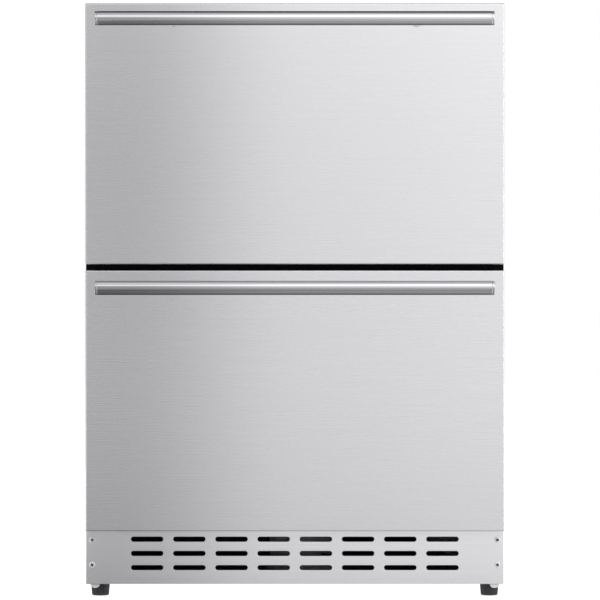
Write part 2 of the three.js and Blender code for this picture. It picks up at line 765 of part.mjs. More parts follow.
// Motor can with a shaft towards -Y, held by crossed arms on four corner posts.
function fanMotor({ radius, length, shaftRadius, shaftLength, armReach, armWidth, postLength }) {
  const chamfer = 3;
  const armY = [0.6, 3.4];
  const can = [
    [0, 0], [radius - chamfer, 0], [radius, chamfer], [radius, length - chamfer],
    [radius - chamfer, length], [0, length],
  ];
  const arm = block(symmetric(armReach), armY, symmetric(armWidth / 2 - overlap / 2));
  const corners = [45, 135, 225, 315].map((degrees) => {
    const angle = THREE.MathUtils.degToRad(degrees);
    return [armReach * Math.cos(angle), armReach * Math.sin(angle)];
  });
  return join(
    turned('y', can, 14),
    rod('y', shaftRadius, [-shaftLength, overlap], [0, 0], 8),
    arm.clone().rotateY(Math.PI / 4),
    arm.clone().rotateY(-Math.PI / 4),
    ...corners.map((at) => rod('y', armWidth / 2, [-postLength, armY[1] + overlap], at, 6)),
  );
}

// Hood behind the condenser that narrows to a round throat for the fan.
function fanShroud() {
  const { half, halfHeight, wall, corner, bore, frontY, plateY, ringY } = shroud;
  return cut(
    join(
      mouldedBlock('y', symmetric(half), symmetric(halfHeight), [frontY, plateY], corner),
      rod('y', bore + wall, [plateY - overlap, ringY], [0, 0], 28),
    ),
    block(symmetric(half - wall), [frontY - through, plateY - wall], symmetric(halfHeight - wall)),
    rod('y', bore, [frontY, ringY + through], [0, 0], 28),
  );
}

// Hermetic motor-compressor: oval shell with a weld flange, foot plate on rubber grommets,
// terminal cover and three stub pipes. Modelled round its own upright axis.
function compressor() {
  const shell = [
    [0, 34], [44, 36], [57, 46], [61, 62], [61, 116], [64, 116], [64, 121], [61, 121],
    [61, 152], [54, 176], [38, 191], [16, 199], [0, 200],
  ];
  const ovality = 1.2;
  const plate = { half: 95, halfDepth: 62, zs: [32, 35], corner: 14 };
  const grommet = { x: 80, y: 48, radius: 10 };
  const terminals = { half: 24, ys: [-82, -52], zs: [84, 138], corner: 6 };
  const pipeRoot = 60;
  const processPipeAt = [-18, 146];
  const stub = (side, { reach, radius }, at) => (
    rod('x', radius, side < 0 ? [-reach, -pipeRoot] : [pipeRoot, reach], at, 8)
  );
  const grommetZ = [panTopZ + seat, plate.zs[0] + overlap];
  const grommets = symmetric(grommet.x).flatMap((x) => symmetric(grommet.y).map((y) => (
    rod('z', grommet.radius, grommetZ, [x, y], 8)
  )));
  return join(
    turned('z', shell, 16).scale(ovality, 1, 1),
    mouldedBlock('z', symmetric(plate.half), symmetric(plate.halfDepth), plate.zs, plate.corner),
    mouldedBlock('z', symmetric(terminals.half), terminals.ys, terminals.zs, terminals.corner),
    stub(1, suctionPort, [0, suctionPort.z]),
    stub(-1, dischargePort, [0, dischargePort.z]),
    stub(-1, dischargePort, processPipeAt),
    ...grommets,
  );
}

// From the compressor's left side up and over to the top of the condenser.
function dischargeLine() {
  const [x, y] = compressorAt;
  const { z: startZ, reach, radius } = dischargePort;
  const endX = condenserFan.x + condenserCoil.portX;
  const endZ = condenserFan.z + condenserCoil.height / 2 + radius / 2;
  return tube([
    [x - reach - seat, y, startZ], [x - reach - portStub, y, startZ], ...dischargeRoute,
    [endX, condenserCoil.y, dischargeTopZ], [endX, condenserCoil.y, endZ],
  ], radius, 16);
}

// From the compressor's right side up to the roof of the machine compartment.
function suctionLine() {
  const [x, y] = compressorAt;
  const { z: startZ, reach, radius } = suctionPort;
  return tube([
    [x + reach + seat, y, startZ], [x + reach + portStub, y, startZ], ...suctionRoute,
    [...suctionEnd, deckTopZ - deckSheet - seat],
  ], radius, 14);
}

function drainPan() {
  const { xs, ys, topZ, wall, corner, floorEdge } = drainTray;
  const floor = panTopZ + seat;
  const inner = ([low, high]) => [low + wall, high - wall];
  return cut(
    mouldedBlock('z', xs, ys, [floor, topZ], corner, { start: floorEdge }),
    mouldedBlock('z', inner(xs), inner(ys), [floor + wall, topZ + through], corner - wall,
      { start: floorEdge - wall }),
  );
}

// Cover over the evaporator: intake slots low down, a round guard for the fan above.
function evaporatorCover() {
  const { half, floorZ, topZ, frontY, wall, corner, edge } = cover;
  const rear = linerBackY - seat;
  const { x, z } = evaporatorFan;
  const cutSpan = [frontY - through, frontY + wall + through];
  const guardSpan = [frontY, frontY + wall];
  const slots = Array.from({ length: coverSlot.count }, (_, i) => {
    const slotX = (i - (coverSlot.count - 1) / 2) * coverSlot.pitch;
    return extrude('y', uprightObround([slotX, coverSlot.z], coverSlot.width, coverSlot.height), cutSpan, 2);
  });
  const shell = cut(
    mouldedBlock('y', symmetric(half), [floorZ, topZ], [frontY, rear], corner, { start: edge }),
    mouldedBlock('y', symmetric(half - wall), [floorZ + wall, topZ - wall], [frontY + wall, rear + through],
      corner - wall, { start: edge - wall, steps: 2 }),
    rod('y', guard.radius, cutSpan, [x, z], 18),
    ...slots,
  );
  const ring = cut(
    rod('y', guard.ringRadius + guard.half, guardSpan, [x, z], 16),
    rod('y', guard.ringRadius - guard.half, cutSpan, [x, z], 16),
  );
  const hub = rod('y', guard.hub, guardSpan, [x, z], 12);
  const spoke = block([guard.hub - overlap, guard.radius + overlap], guardSpan, symmetric(guard.half));
  const spokes = Array.from({ length: guard.spokes }, (_, i) => (
    spoke.clone().rotateY(i / guard.spokes * 2 * Math.PI).translate(x, 0, z)
  ));
  return join(shell, hub, ring, ...spokes);
}

// Housing of the thermostat and its display under the liner's ceiling, sloped towards the user.
function controlHousing() {
  const { half, frontY, rearY: backY, bottomZ, bevel } = controls;
  const top = linerCeilingZ - seat;
  const profile = [
    [frontY, top], [frontY, bottomZ + 1.5 * bevel], [frontY + 2 * bevel, bottomZ],
    [backY - bevel, bottomZ], [backY, bottomZ + bevel], [backY, top],
  ];
  return extrude('x', polygon(profile), symmetric(half));
}

function lamp() {
  const { half, ys, bottomZ, corner, edge } = lampBar;
  return mouldedBlock('z', symmetric(half), ys, [bottomZ, linerCeilingZ - seat], corner, { start: edge });
}

// ---------------------------------------------------------------- drawers

// Folded stainless pan: its face, four sides and a narrow hem behind.
function frontPan() {
  const inside = frontX - sheet;
  const insideZ = [sheet, frontHeight - sheet];
  return cut(
    mouldedBlock('y', symmetric(frontX), [0, frontHeight], [faceY, frontRearY], frontBend,
      { start: frontBend, steps: 3 }),
    block(symmetric(inside), [faceY + sheet, frontRearY - sheet], insideZ),
    block(symmetric(frontX - hemWidth), [frontRearY - sheet - through, frontRearY + through],
      [hemWidth, frontHeight - hemWidth]),
  );
}

function frontInsulation() {
  const inset = sheet + seat;
  return block(symmetric(frontX - inset), [faceY + inset, frontRearY - panelThickness - seat],
    [inset, frontHeight - inset]);
}

// Moulded panel behind a drawer front: a groove for the gasket round a raised middle.
function innerPanel(gasketZ, openingZ) {
  const edge = hemWidth + seat;
  const sheetY = [frontRearY - panelThickness, frontRearY];
  const grooveY = [frontRearY - dartDepth - seat, frontRearY + overlap];
  const grooveHalf = dartHalf + seat;
  const groove = [
    [-grooveHalf, grooveY[0]], [grooveHalf, grooveY[0]], [grooveHalf, grooveY[1]], [-grooveHalf, grooveY[1]],
  ];
  const dikeZ = [openingZ[0] + dikeClearance, openingZ[1] - dikeClearance];
  return cut(
    join(
      block(symmetric(frontX - edge), sheetY, [edge, frontHeight - edge]),
      mouldedBlock('y', symmetric(linerX - dikeClearance), dikeZ, [frontRearY - overlap, dikeRearY],
        dikeCorner, { end: dikeEdge }),
    ),
    mitredFrame(groove, symmetric(gasketX), gasketCentre(gasketZ)),
  );
}

// The heights of the gasket's centre line, bottom and top.
function gasketCentre([z0, z1]) {
  return [z0 + gasketHalf, z1 - gasketHalf];
}

// Magnetic seal: a dart in the groove, a narrow bellows and a wide lip on the cabinet face.
function gasket(gasketZ) {
  const foot = frontRearY + seat;
  const lip = sealY - seat;
  const waist = { out: gasketHalf - 2.5, y: foot + 2 };
  const bevel = 1.2;
  const half = [
    [dartHalf, foot - dartDepth], [dartHalf, foot], [gasketHalf, foot],
    [waist.out, waist.y], [gasketHalf, lip - bevel], [gasketHalf - bevel, lip],
  ];
  const profile = [...half, ...half.map(([out, y]) => [-out, y]).reverse()];
  return mitredFrame(profile, symmetric(gasketX), gasketCentre(gasketZ));
}

// Open bin with rounded corners, a lip along its sides and back, and air slots in its back wall.
function bin([z0, z1], y1) {
  const y0 = dikeRearY + seat;
  const xs = symmetric(binX);
  const slots = Array.from({ length: binSlot.count }, (_, i) => {
    const x = (i - (binSlot.count - 1) / 2) * binSlot.pitch;
    const shape = uprightObround([x, z1 - binSlot.drop], binSlot.width, binSlot.height);
    return extrude('y', shape, [y1 - binWall - through, y1 + through], 2);
  });
  return cut(
    join(
      mouldedBlock('z', xs, [y0, y1], [z0, z1], binCorner, { start: binFloorEdge }),
      mouldedBlock('z', symmetric(binX + binLip.width), [y0 + binLip.frontInset, y1 + binLip.width],
        [z1 - binLip.height, z1], binCorner + binLip.width),
    ),
    mouldedBlock('z', symmetric(binX - binWall), [y0 + binWall, y1 - binWall],
      [z0 + binWall, z1 + through], binCorner - binWall, { start: binFloorEdge - binWall }),
    ...slots,
  );
}

// Round tube on two posts, centred on its own axis.
function handle() {
  const half = handleLength / 2 - handleCapDepth - seat;
  const face = handleReach - seat;
  return cut(
    join(
      rod('x', handleRadius, symmetric(half), [0, 0], 24),
      ...symmetric(handlePostX).flatMap((x) => [
        rod('y', handlePostRadius, [0, face], [x, 0], 12),
        rod('y', handleCollar.radius, [face - handleCollar.depth, face], [x, 0], 16),
      ]),
    ),
    rod('x', handleRadius - handleWall, symmetric(half + through), [0, 0], 16),
  );
}

// Domed plug for the tube's end, pointing along +X from where it meets the tube.
function handleCap() {
  const spigot = { radius: handleRadius - handleWall - seat, length: 8 };
  const capRound = 1.2;
  const capDome = 0.4;
  return turned('x', [
    [0, -spigot.length], [spigot.radius, -spigot.length], [spigot.radius, 0], [handleRadius, 0],
    [handleRadius, handleCapDepth - capRound - capDome], [handleRadius - capRound, handleCapDepth - capDome],
    [0, handleCapDepth],
  ], 16);
}

// One member of a telescopic slide: a channel with lips, its web at u0 and its mouth at u1,
// both measured from the liner's wall.
function slideMember(side, { us: [u0, u1], halfHeight, lip }, span) {
  const t = Math.sign(u1 - u0) * slideSheet;
  const half = [
    [u0, halfHeight], [u1, halfHeight], [u1, halfHeight - lip], [u1 - t, halfHeight - lip],
    [u1 - t, halfHeight - slideSheet], [u0 + t, halfHeight - slideSheet],
  ];
  const outline = [...half, ...half.map(([u, v]) => [u, -v]).reverse()];
  return extrude('y', polygon(outline.map(([u, v]) => [side * (linerX - u), v])), span);
}

// Outer member on the liner, inner member on the bin, and the middle one that runs between them.
function slide(spec, side) {
  const hand = side < 0 ? 'left' : 'right';
  const rear = slideFrontY + spec.slideLength;
  return Object.entries(slideMembers).map(([part, member]) => piece(
    `${spec.name}_slide_${part}_${hand}`,
    slideMember(side, member, [slideFrontY + member.inset, rear - member.inset]),
    zinc,
    [0, 0, spec.slideZ],
  ));
}

function drawer(spec) {
  const [floor] = spec.frontZ;
  const local = (zs) => zs.map((z) => z - floor);
  const named = (part) => `${spec.name}_${part}`;
  const capX = handleLength / 2 - handleCapDepth;
  const caps = symmetric(1).map((side) => {
    const cap = piece(named(`handle_cap_${side < 0 ? 'left' : 'right'}`), handleCap(), polished);
    cap.position.x = side * capX;
    cap.rotation.y = side < 0 ? Math.PI : 0;
    return cap;
  });
  return group(
    [0, 0, floor],
    piece(named('front_panel'), frontPan(), stainless),
    piece(named('front_insulation'), frontInsulation(), foam),
    piece(named('inner_panel'), innerPanel(local(spec.gasketZ), local(spec.openingZ)), whitePlastic),
    piece(named('gasket'), gasket(local(spec.gasketZ)), blackRubber),
    piece(named('bin'), bin(local(spec.binZ), spec.binRearY), whitePlastic),
    group(
      [0, faceY - handleReach, frontHeight - handleDrop],
      piece(named('handle'), handle(), polished),
      ...caps,
    ),
  );
}

// ---------------------------------------------------------------- assembly

const cabinet = group(
  [0, 0, 0],
  piece('outer_wrapper', outerWrapper(), blackPaint),
  piece('back_panel', backPanel(), zinc),
  piece('machine_deck', machineDeck(), zinc),
  piece('base_pan', basePan(), zinc),
  piece('machine_cover', machineCover(), zinc),
  piece('cabinet_insulation', cabinetInsulation(), foam),
  piece('inner_liner', innerLiner(), whitePlastic),
  piece('mullion', mullion(), blackPaint),
  piece('bottom_rail', bottomRail(), blackPaint),
  piece('kick_plate', kickPlate(), stainless),
  piece('leg_bracket_left', legBracket(-1), zinc, [-footX, footFrontY, 0]),
  piece('leg_bracket_right', legBracket(1), zinc, [footX, footFrontY, 0]),
  piece('power_inlet', powerInlet(), blackPlastic, [inlet.x, 0, inlet.z]),
  piece('control_housing', controlHousing(), whitePlastic),
  piece('lamp', lamp(), lens),
);

const condenserFanAt = [condenserFan.x, condenserFan.y + condenserFan.length / 2, condenserFan.z];
const condenserAt = [condenserFan.x, condenserCoil.y, condenserFan.z - condenserCoil.height / 2];
const evaporatorFanAt = [
  evaporatorFan.x, evaporatorFan.y + evaporatorFan.length / 2, evaporatorFan.z,
];
const cooling = group(
  [0, 0, 0],
  piece('compressor', compressor(), blackPaint, compressorAt),
  piece('condenser', heatExchanger(condenserCoil), aluminium, condenserAt),
  piece('fan_shroud', fanShroud(), blackPlastic, [condenserFan.x, 0, condenserFan.z]),
  piece('condenser_fan', fan(condenserFan), blackPlastic, condenserFanAt),
  piece('condenser_fan_motor', fanMotor(condenserMotor), zinc,
    [condenserFan.x, condenserMotor.y, condenserFan.z]),
  piece('drain_pan', drainPan(), blackPlastic),
  piece('discharge_line', dischargeLine(), copper),
  piece('suction_line', suctionLine(), copper),
  piece('evaporator', heatExchanger(evaporatorCoil), aluminium, [0, evaporatorCoil.y, evaporatorCoil.z]),
  piece('evaporator_cover', evaporatorCover(), whitePlastic),
  piece('evaporator_fan', fan(evaporatorFan), blackPlastic, evaporatorFanAt),
  piece('evaporator_fan_motor', fanMotor(evaporatorMotor), zinc,
    [evaporatorFan.x, evaporatorMotor.y, evaporatorFan.z]),
);

const feet = symmetric(footX).flatMap((x) => [
  piece(`foot_front_${x < 0 ? 'left' : 'right'}`, levellingFoot(), blackPlastic, [x, footFrontY, 0]),
  piece(`foot_rear_${x < 0 ? 'left' : 'right'}`, levellingFoot(), blackPlastic, [x, footRearY, 0]),
]);

const slides = [upper, lower].flatMap((spec) => symmetric(1).flatMap((side) => slide(spec, side)));

export default group(
  [0, 0, 0],
  cabinet,
  cooling,
  group([0, 0, 0], ...feet),
  group([0, 0, 0], ...slides),
  drawer(upper),
  drawer(lower),
);
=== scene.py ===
import json
import math

import bmesh
import bpy
from mathutils import Matrix, Vector


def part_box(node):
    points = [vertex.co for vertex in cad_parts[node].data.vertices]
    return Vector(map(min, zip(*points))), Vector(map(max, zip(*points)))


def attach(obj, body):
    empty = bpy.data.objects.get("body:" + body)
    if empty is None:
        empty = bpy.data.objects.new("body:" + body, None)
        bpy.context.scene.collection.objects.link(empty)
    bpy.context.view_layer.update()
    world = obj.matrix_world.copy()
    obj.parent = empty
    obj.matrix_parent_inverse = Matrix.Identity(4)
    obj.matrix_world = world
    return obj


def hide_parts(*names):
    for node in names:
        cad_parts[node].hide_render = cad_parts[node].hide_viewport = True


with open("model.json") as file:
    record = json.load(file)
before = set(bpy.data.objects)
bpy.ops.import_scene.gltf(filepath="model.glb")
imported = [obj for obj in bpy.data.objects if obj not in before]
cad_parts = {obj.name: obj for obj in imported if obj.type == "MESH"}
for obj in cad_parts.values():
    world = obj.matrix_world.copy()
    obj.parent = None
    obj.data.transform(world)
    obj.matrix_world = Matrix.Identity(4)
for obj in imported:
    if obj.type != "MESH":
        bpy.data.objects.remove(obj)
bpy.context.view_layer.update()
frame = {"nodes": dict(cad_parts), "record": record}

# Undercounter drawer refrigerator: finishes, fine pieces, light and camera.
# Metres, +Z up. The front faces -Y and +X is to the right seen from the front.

scene = bpy.context.scene

# ---------------------------------------------------------------- camera dimensions

CAMERA_DISTANCE = 4.75  # from the drawer faces
CAMERA_HEIGHT = 0.428
CAMERA_SIDE = 0.0075
LENS_MM = 200.4
SENSOR_MM = 36.0

# ---------------------------------------------------------------- dimensions of the pieces

SMOOTH_BELOW = 35  # degrees: edges that turn less are shaded smoothly
CAD_SMOOTH_BELOW = 40
CAD_WELD = 0.000005  # corners of a CAD node closer than this are joined for shading

SHEET = 0.0012  # painted and stainless sheet
FRONT_BEND = 0.002
FRONT_CORNER = 0.001
HEM_WIDTH = 0.005
HEM_BEND = 0.0009
TIGHTEST_CORNER = 0.0003

BAR_SIDES = 96
BAR_WALL = 0.0015
BAR_CHAMFER = 0.0004
CAP_DOME = 0.0003  # how far the plug's middle stands out
CAP_CURVE = 0.3  # the part of the dome's fall that lies inside half the radius
CAP_ROUND = 0.0006
CAP_GAP = 0.0002  # between the bar's end and the plug's rim
CAP_PLAY = 0.0003  # round the plug's spigot; also the bevel of its rim
POST_X = 0.173
POST_RADIUS = 0.007
COLLAR_RADIUS = 0.009
COLLAR_DEPTH = 0.003
COLLAR_FILLET = 0.0012

SLOT_LENGTH = 0.0465
SLOT_HEIGHT = 0.007
SLOT_PITCH_X = 0.0606
SLOT_COLUMNS = 8
SLOT_ROWS_Z = (0.0435, 0.0639, 0.0844)
SLOT_ROUND = 0.0005  # rounding of the slots' and the plate's edges
KICK_RETURN_X = 0.275
KICK_RETURN_BOTTOM = 0.005

# Screw heads: widths are parts of the head's radius, levels are parts of its height.
SCREW_FOOT = 0.98  # the width of its underside
SCREW_RIM = 0.35  # the level at which its crown starts
SCREW_CROWN_STEPS = 8
RECESS_REACH = 0.7  # of the cross at its top
RECESS_HALF = 0.2  # half the width of an arm
RECESS_TOP = 1.2
RECESS_FLOOR_REACH = 0.3
RECESS_FLOOR_HALF = 0.12
RECESS_FLOOR = 0.2
RECESS_LEVELS = (0.1, 0.84)  # faces between these levels, inside the reach, are the recess
SCREW_TURN = 20  # degrees: of a row's first screw
SCREW_TURN_STEP = 67  # from each screw to the next

KICK_SCREW_X = 0.291
KICK_SCREWS_Z = (0.0477, 0.0835)
KICK_SCREW_RADIUS = 0.0045
KICK_SCREW_HEIGHT = 0.0025
REAR_SCREW_RADIUS = 0.0045
REAR_SCREW_HEIGHT = 0.0013
REAR_SCREWS_X = (-0.278, -0.096, 0.096, 0.278)
BACK_SCREWS_Z = (0.309, 0.571, 0.82)
COVER_FACE_Y = 0.3172
COVER_SCREWS_Z = (0.032, 0.16, 0.286)

LUG_X = 0.287  # rounded tab of the leg bracket, in front of the foot
LUG_HALF = 0.0065
LUG_BOTTOM = 0.0142
LUG_ROUND = 0.0045
LUG_STEPS = 16
BRACKET_SHEET = 0.0015
BRACKET_NUT = 0.010  # radius and height of the welded nut
BRACKET_NOSE = 0.004  # how much further the plate reaches to the front than to the back
STUD_HOLE = 0.0056
HOLE_SIDES = 32

FOOT_HEIGHT = 0.0197
FOOT_TAPER = 0.0013  # how much the sole's radius is less than the collar's
FOOT_COLLAR = 0.003
FOOT_EDGE = 0.0008  # rounding of the collar's edges
FOOT_STEP = 0.0002  # from the ribs out to the collar
SOLE_EDGE = ((0, 0.0014), (0.0006, 0.0005), (0.0016, 0))  # (height, inset) from the floor up
FOOT_RIBS_START = 0.0024
FOOT_RIBS = 26
FOOT_RIB_DEPTH = 0.0008
FOOT_RIB_STEPS = 6
FOOT_RIB_SHAPE = 0.7  # an exponent; below 1 it widens the grooves
STUD_RADIUS = 0.005
STUD_ROOT = 0.001  # how far the stud reaches into the glide
STUD_SIDES = 32
THREAD_PITCH = 0.0015
THREAD_DEPTH = 0.0008

BIN_WALL = 0.002
BIN_CORNER = 0.014
BIN_FLOOR_EDGE = 0.014
BIN_LIP = 0.005
BIN_LIP_HEIGHT = 0.004
BIN_LIP_ROUND = 0.001
BIN_SLOT_PITCH = 0.07
BIN_SLOT_COUNT = 5
BIN_SLOT_WIDTH = 0.008
BIN_SLOT_HEIGHT = 0.054
BIN_SLOT_DROP = 0.07

# Half the section of the seal: (out, as a part of GASKET_HALF; back, as a part of its depth).
GASKET_HALF = 0.007
GASKET_SECTION = (
    (1.0, 0.06), (1.0, 0.18), (0.6, 0.24), (0.42, 0.34), (0.68, 0.44), (0.45, 0.54),
    (0.9, 0.62), (1.0, 0.74), (0.98, 0.88), (0.84, 1.0),
)

BALL_RADIUS = 0.0015
BALL_PITCH = 0.016
BALL_ROW_Z = 0.02  # above and below the middle of the slide
BALL_FROM_LINER = 0.007

# ---------------------------------------------------------------- numbers of the looks

FINE_GRAIN = (9, 1300, 1300)  # scales of the steel's grain, which runs along X
BROAD_GRAIN = (5, 420, 420)
ACROSS_THE_GRAIN = 0.25  # turn of a flat face's blur, which makes it go up and down
STEEL_BUMP = 0.02
STEEL_ROUGHNESS_SPREAD = 0.03
PAINT_ROUGHNESS_SPREAD = 0.04
METAL_ROUGHNESS_SPREAD = 0.15
PAINT_PATCHES = 7  # scale of the slight differences in a painted or moulded surface
BUMP_DISTANCE = 0.0002
FLANGE_SHADE = 0.004  # how deep the front flange's painted shade goes, as a part of the cabinet's depth
FLANGE_PAINT = 0.06  # how much of the paint's colour is left in that painted shade
# specular level of the paint in that painted shade, and behind it
FLANGE_SPECULAR = 0.03
CABINET_SPECULAR = 0.4
MIX_FIRST = 6  # sockets of a mix node's colours
MIX_SECOND = 7
MIX_RESULT = 2

# Painted shade and highlight on each handle's bar: between these heights, as parts of the bar's
# height, a factor of its colour goes from the first value to the second. The painted dark line
# along its top, the painted shade of its lower half, a painted lighter band in that, and the
# painted dark line along its underside.
BAR_PAINTED_SHADE = {
    "upper": (
        ((0.68, 0.94), (1, 0.36)),
        ((0.4, 0.46), (0.6, 1)),
        ((0.27, 0.31), (1.28, 1)),
        ((0.01, 0.14), (0.05, 1)),
    ),
    "lower": (
        ((0.84, 1), (0.95, 0.12)),
        ((0.47, 0.58), (0.5, 1)),
        ((0.3, 0.36), (1.3, 1)),
        ((0.01, 0.14), (0.02, 1)),
    ),
}
# each bar's steel, with its own painted shade by height
BAR_FINISH = {"upper": "polished_stainless", "lower": "lower_bar_stainless"}

# ---------------------------------------------------------------- numbers of the studio

SCREEN_X = (-2.6, 2.6)  # the upright light in front, behind the camera's view
SCREEN_Y = -1.47
SCREEN_Z = (0.01, 3.2)
CARD_X = (-0.4, 2)  # the light on the floor
CARD_Y = (-4, -0.2)
CARD_Z = 0.002

# Strengths of those two lights, as glow_material takes them. Each step is (from, to, amount).
SIDE_STEPS = ((-0.31, 0.01, 0.75), (-0.05, 0.45, 0.25))  # from left to right
SCREEN_SIDE = (0.16, ((0.15, 0.45, 0.34), (0.95, 1.3, 0.1), (0.12, 0.04, 0.45)))
SCREEN_ALL = (0.64, ((0.1, 0.9, -0.28), (0.95, 1.3, 0.7), (1.6, 2.8, -0.6), (0.12, 0.04, 0.15)))
CARD_SIDE = (0.36, ((-1.2, -1.35, 0.34),))
CARD_ALL = (0.2, ((-1.2, -1.35, 0.36),))

WORLD_SEEN = 1.0  # behind the object, for the camera
WORLD_FRONT = 0.8  # light on the object from the front, and from behind it
WORLD_BACK = 0.1
WORLD_FADE = (-0.25, 0.45)  # the directions along Y between which one fades to the other
FLOOR_HALF = 12
FLOOR_GREY = (0.9, 0.9, 0.9)
FLOOR_ROUGHNESS = 0.9
FLOOR_GLOW = 0.85
SOFTBOXES = (  # name, place, target, size, power
    ("right_panel", (2.3, -0.8, 0.7), (0, -0.3, 0.5), (0.5, 1.3), 8),
    ("rear_panel", (0, 3.5, 1.3), (0, 0, 0.4), (3, 1.6), 20),
)

# ---------------------------------------------------------------- camera


def make_camera():
    face_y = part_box("upper_front_panel")[0].y
    camera = bpy.data.objects.new("camera", bpy.data.cameras.new("camera"))
    camera.data.lens = LENS_MM
    camera.data.sensor_width = SENSOR_MM
    camera.location = (CAMERA_SIDE, face_y - CAMERA_DISTANCE, CAMERA_HEIGHT)
    camera.rotation_euler = (math.pi / 2, 0, 0)
    scene.collection.objects.link(camera)
    scene.camera = camera


# ---------------------------------------------------------------- materials


class Graph:
    """The node tree of one new material, with short calls for adding and linking nodes."""

    def __init__(self, name):
        self.material = bpy.data.materials.new(name)
        self.material.use_nodes = True
        self.tree = self.material.node_tree
        self.shader = self.tree.nodes["Principled BSDF"]

    def add(self, kind, inputs, **settings):
        """Adds a node; each input is a value or another node's output socket."""
        node = self.tree.nodes.new(kind)
        for key, value in settings.items():
            setattr(node, key, value)
        self.fill(node, inputs)
        return node

    def fill(self, node, inputs):
        for key, value in inputs.items():
            if isinstance(value, bpy.types.NodeSocket):
                self.tree.links.new(value, node.inputs[key])
            else:
                node.inputs[key].default_value = value

    def place(self, scale):
        """The object's own coordinates, stretched evenly or by a scale for each axis."""
        coordinates = self.add("ShaderNodeTexCoord", {})
        scales = scale if isinstance(scale, tuple) else (scale, scale, scale)
        mapping = self.add("ShaderNodeMapping", {
            "Vector": coordinates.outputs["Object"], "Scale": scales,
        })
        return mapping.outputs["Vector"]

    def axes(self, space):
        """The X, Y and Z outputs of the coordinates of a space."""
        coordinates = self.add("ShaderNodeTexCoord", {})
        return self.add("ShaderNodeSeparateXYZ", {"Vector": coordinates.outputs[space]}).outputs

    def noise(self, scale, detail=2.0):
        node = self.add("ShaderNodeTexNoise", {
            "Vector": self.place(scale), "Scale": 1.0, "Detail": detail, "Roughness": 0.5,
        })
        return node.outputs["Fac"]

    def cells(self, scale):
        return self.add("ShaderNodeTexVoronoi", {"Vector": self.place(scale), "Scale": 1.0}).outputs

    def remap(self, value, low, high, source=(0.3, 0.7)):
        node = self.add("ShaderNodeMapRange", {
            "Value": value, "From Min": source[0], "From Max": source[1],
            "To Min": low, "To Max": high,
        })
        return node.outputs["Result"]

    def mix(self, factor, first, second, blend="MIX"):
        """Two colours mixed; each is an RGBA value or another node's output socket."""
        node = self.add("ShaderNodeMix", {
            "Factor": factor, MIX_FIRST: first, MIX_SECOND: second,
        }, data_type="RGBA", blend_type=blend)
        return node.outputs[MIX_RESULT]

    def tint(self, value, dark, light, source=(0.3, 0.7)):
        """A colour between two, chosen by where the value is in its source range."""
        return self.mix(self.remap(value, 0, 1, source), (*dark, 1), (*light, 1))

    def bump(self, height, strength, distance=BUMP_DISTANCE):
        node = self.add("ShaderNodeBump", {
            "Height": height, "Strength": strength, "Distance": distance,
        })
        return node.outputs["Normal"]


def shade(color, factor):
    return tuple(min(1.0, part * factor) for part in color)


def brushed_steel(name, color, roughness, anisotropy, contrast, painted_shade_bands=()):
    """Stainless steel with a fine grain from side to side, which blurs reflections upwards and
    downwards. Steel given bands by height is for a round bar: the blur goes round the bar, and the
    bands paint shade and a lighter band into its colour.
    """
    graph = Graph(name)
    fine = graph.noise(FINE_GRAIN, detail=4)
    broad = graph.noise(BROAD_GRAIN, detail=5)
    steel = graph.tint(broad, shade(color, 1 - contrast), shade(color, 1 + contrast))
    if painted_shade_bands:
        # painted shade: the bar's colour is darkened and lightened by height, standing in for its
        # shading
        height = graph.axes("Generated")["Z"]
        for heights, factors in painted_shade_bands:
            steel = graph.mix(1.0, steel, graph.remap(height, *factors, heights), "MULTIPLY")
    tangent = graph.add(
        "ShaderNodeTangent", {}, direction_type="RADIAL", axis="X" if painted_shade_bands else "Z",
    )
    graph.fill(graph.shader, {
        "Metallic": 1.0,
        "Base Color": steel,
        "Roughness": graph.remap(
            fine, roughness - STEEL_ROUGHNESS_SPREAD, roughness + STEEL_ROUGHNESS_SPREAD,
        ),
        "Anisotropic": anisotropy,
        "Anisotropic Rotation": 0.0 if painted_shade_bands else ACROSS_THE_GRAIN,
        "Tangent": tangent.outputs["Tangent"],
        "Normal": graph.bump(fine, STEEL_BUMP),
    })
    return graph.material


def galvanised_sheet(name, dark, light, roughness):
    """Zinc-coated sheet: crystal spangles with slightly different greys."""
    graph = Graph(name)
    spangles = graph.cells(90)["Color"]
    grey = graph.add("ShaderNodeSeparateColor", {"Color": spangles}).outputs["Red"]
    haze = graph.noise(25, detail=5)
    graph.fill(graph.shader, {
        "Metallic": 1.0,
        "Base Color": graph.tint(grey, dark, light, source=(0, 1)),
        "Roughness": graph.remap(haze, *roughness),
        "Normal": graph.bump(haze, 0.1, distance=0.0003),
    })
    return graph.material


def textured(name, dark, light, roughness, grain, bump, specular=0.5):
    """Paint or moulded plastic: a fine surface texture over a slightly uneven colour."""
    graph = Graph(name)
    broad = graph.noise(PAINT_PATCHES, detail=4)
    graph.fill(graph.shader, {
        "Base Color": graph.tint(broad, dark, light),
        "Roughness": graph.remap(
            broad, roughness - PAINT_ROUGHNESS_SPREAD, roughness + PAINT_ROUGHNESS_SPREAD,
        ),
        "Specular IOR Level": specular,
        "Normal": graph.bump(graph.noise(grain), bump),
    })
    return graph.material


def cabinet_paint(name, shadow, dark, light, roughness, grain, bump):
    """Black paint, with painted shade on the front flange: there it turns to a shadow colour and
    reflects next to nothing, as in the shade of the drawers.
    """
    graph = Graph(name)
    broad = graph.noise(PAINT_PATCHES, detail=4)
    shade_range = (FLANGE_SHADE, 2 * FLANGE_SHADE)
    # painted shade: towards the front flange the colour fades to the shadow colour and the specular
    # drops
    behind = graph.remap(graph.axes("Generated")["Y"], FLANGE_PAINT, 1, shade_range)
    graph.fill(graph.shader, {
        "Base Color": graph.mix(behind, (*shadow, 1), graph.tint(broad, dark, light)),
        "Roughness": graph.remap(broad, *roughness),
        "Specular IOR Level": graph.remap(behind, FLANGE_SPECULAR, CABINET_SPECULAR, (0, 1)),
        "Normal": graph.bump(graph.noise(grain), bump),
    })
    return graph.material


